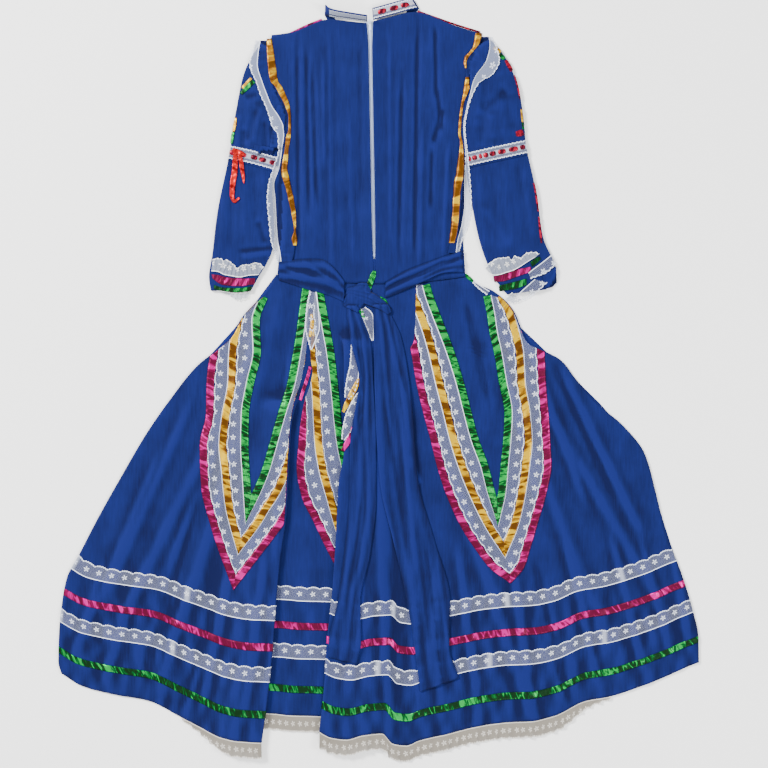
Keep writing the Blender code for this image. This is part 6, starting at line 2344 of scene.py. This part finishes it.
UNDERARM = Strip("cloth_underarm_left", Stock.CLOTH, [
    (-152, 168, 14), (-154, 190, 20), (-158, 215, 26), (-160, 240, 26), (-158, 262, 16)])
ZIP_SEAM = Strip("cloth_below_zip", Stock.CLOTH, [(-6.2, 411, 3.2), (-5.9, 420, 2.6), (-5.6, 431, 2.2)])
WAIST_SEAM = Strip("cloth_waist_seam", Stock.CLOTH, [
    (across, waist(across), 9) for across in (-158, -120, -80, -40, 0, 40, 80, 112, 138)])
SHOULDER_PEEKS = (
    Strip("peek_pink_seam_left", Stock.PINK, [(-140, 50, 2.5), (-112, 37, 3), (-90, 28, 2.5)]),
    Strip("peek_red_seam_right", Stock.RED, [(64, 15, 3), (86, 23, 3), (123, 36, 3), (163, 48.5, 3)]),
)
WAIST_PEEKS = (
    Strip("peek_green_waist", Stock.GREEN, [(-5, 430, 4), (-8, 438, 9), (-14, 454, 9), (-17, 464, 6)]),
    Strip("peek_lace_waist", Stock.LACE, [(-12, 471, 6), (-2, 475, 9), (6, 480, 8)]),
    Strip("peek_green_waist_right", Stock.GREEN, [(2, 474, 7), (9, 479, 9), (15, 488, 4)]),
    Strip("peek_lace_wedge", Stock.LACE, [(-24, 490, 8), (-17, 503, 18), (-13, 520, 13), (-9, 542, 4)]),
    Strip("peek_green_wedge", Stock.GREEN, [(-31, 488, 4), (-27, 497, 8), (-22, 508, 3)]),
)
VEE_PEEKS = (
    Strip("peek_lace_between", Stock.LACE, [
        (-104, 464, 12), (-105, 490, 20), (-105, 520, 24), (-106, 540, 14), (-107, 556, 3)]),
    Strip("peek_gold_between", Stock.GOLD, [
        (-107, 499, 3), (-105, 512, 6), (-107, 524, 5), (-109, 536, 3)]),
    Strip("peek_pink_between", Stock.PINK, [
        (-108, 583, 4), (-113, 602, 5), (-119, 620, 5), (-124, 637, 4)]),
    Strip("peek_green_corner", Stock.GREEN, [(139, 436, 4), (145, 441, 6), (152, 447, 4)]),
    Strip("peek_lace_corner", Stock.LACE, [(152, 448, 4), (163, 457, 7), (176, 466, 8)]),
    Strip("peek_lace_second", Stock.LACE, [
        (-42, 543, 2), (-40, 560, 8), (-38, 580, 15), (-41, 604, 19), (-45, 622, 17), (-50, 634, 8)]),
    Strip("peek_gold_second", Stock.GOLD, [
        (-29, 601, 3), (-34, 612, 8), (-42, 628, 9), (-50, 644, 8), (-56, 656, 4)]),
    Strip("peek_lace_second_low", Stock.LACE, [
        (-28, 622, 5), (-34, 640, 16), (-42, 660, 19), (-50, 684, 15), (-56, 700, 6)]),
    Strip("peek_pink_second", Stock.PINK, [
        (-28, 660, 4), (-36, 676, 8), (-46, 700, 9), (-57, 718, 5)]),
)


# Light and camera

PICTURE_MIDDLE = (0.0086, -0.0062)
PICTURE_SIZE = 768 * 1.6 * MM


def build_stage() -> None:
    """Set a pale floor, soft studio light and a camera straight above."""
    floor_mesh = bpy.data.meshes.new("floor")
    floor_mesh.from_pydata([(-6, -6, 0), (6, -6, 0), (6, 6, 0), (-6, 6, 0)], [], [(0, 1, 2, 3)])
    floor_mesh.materials.append(StudioFloor("pale_studio_floor").make())
    placed("floor", floor_mesh)

    for name, place, size, power in (
            ("window_left", (-3.2, 2.2, 2.8), 1.2, 640.0), ("window_right", (2.8, -0.4, 2.4), 1.2, 120.0),
            ("window_foot", (0.5, -3.0, 3.0), 1.5, 110.0)):
        light = bpy.data.lights.new(name, "AREA")
        light.size, light.energy = size, power
        lamp = placed(name, light)
        lamp.location = place
        lamp.rotation_euler = (-Vector(place)).to_track_quat("-Z", "Y").to_euler()
    world = bpy.data.worlds.new("studio")
    world.use_nodes = True
    fill(world.node_tree.nodes["Background"], {"Color": (0.92, 0.95, 1.0, 1.0), "Strength": 1.1})
    bpy.context.scene.world = world

    lens = bpy.data.cameras.new("overhead")
    lens.lens, lens.sensor_width = 85.0, 36.0
    camera = placed("overhead", lens)
    camera.location = (*PICTURE_MIDDLE, PICTURE_SIZE * lens.lens / lens.sensor_width)
    bpy.context.scene.camera = camera


@dataclass(frozen=True)
class StudioFloor(Finish):
    """Matte paint on a smooth floor, pale and hardly uneven."""

    def surface(self, node: Callable[..., Socket]) -> dict[str, object]:
        """The paint's colour.

        Args:
            node: adds a node to the material and gives its output.

        Returns:
            What goes into the surface shader.
        """
        tone = node("ValToRGB", node("TexNoise", {"Scale": 3.0, "Detail": 3.0}))
        set_ramp(tone, (0.3, "#F1F0EE"), (0.7, "#F5F4F2"))
        return {"Base Color": tone, "Roughness": 0.9}


def main() -> None:
    """Dress the part from the bottom up."""
    logging.basicConfig(level=logging.INFO, format="%(message)s")
    build_stage()
    skirt_front = ClothPanel("skirt_front", 1, uneven=0.0, raised=0.0, flat=(1.03, 0.73), area=0.545)
    skirt_front.build()
    skirt = Skirt()
    skirt.build()
    vees = Vees(skirt)
    vees.build()

    bodice = Bodice()
    bodice.build()
    zip_pieces = Zip().build()
    collar = Collar()
    collar.build()
    seams = [strip.lay(Ground([bodice.front.piece]), lift=1.2) for strip in SHOULDER_PEEKS]
    sleeves = [left_sleeve(), right_sleeve()]
    for sleeve in sleeves:
        sleeve.build()
    zip_seam = ZIP_SEAM.lay(Ground(bodice.pieces()), lift=0.1, spread=2.0)
    underarm = UNDERARM.lay(Ground([bodice.front.piece, sleeves[0].upper.piece, sleeves[0].lower.piece]),
                            lift=0.9, thick=0.8)
    wings = [Wing("left", WING_LEFT, [WING_RIBBON_LEFT], (0.026, 0.36), 0.0078),
             Wing("right", WING_RIGHT, [WING_RIBBON_RIGHT_TOP, WING_RIBBON_RIGHT], (0.022, 0.36), 0.0061)]
    for wing, sleeve, back in zip(wings, sleeves, (bodice.left, bodice.right)):
        wing.build([bodice.front.piece, back.piece, sleeve.upper.piece, sleeve.lower.piece,
                    sleeve.seam, underarm, *sleeve.upper_trims])

    on_skirt = [skirt.cloth, *skirt.rows.values(), *vees.pieces]
    on_dress = [*on_skirt, *bodice.pieces()]
    peeks = [strip.lay(Ground(on_skirt), lift=0.6) for strip in VEE_PEEKS]
    peeks += [strip.lay(Ground(on_dress), lift=0.6) for strip in WAIST_PEEKS]
    sash = Sash()
    sash.build([*on_dress, *zip_pieces[:2], *peeks])
    seam = WAIST_SEAM.lay(Ground([skirt_front.piece, bodice.front.piece]), lift=0.9, thick=0.6,
                          gathering=Gathering(), spread=3.0)

    skirt_front.declare([seam])
    bodice.front.declare([underarm, *seams])
    bodice.left.declare([zip_seam, *zip_pieces[:2]])
    bodice.right.declare()
    collar.panel.declare(collar.trims)
    for part in (*sleeves, *wings, sash):
        part.declare()


if __name__ == "__main__":
    main()
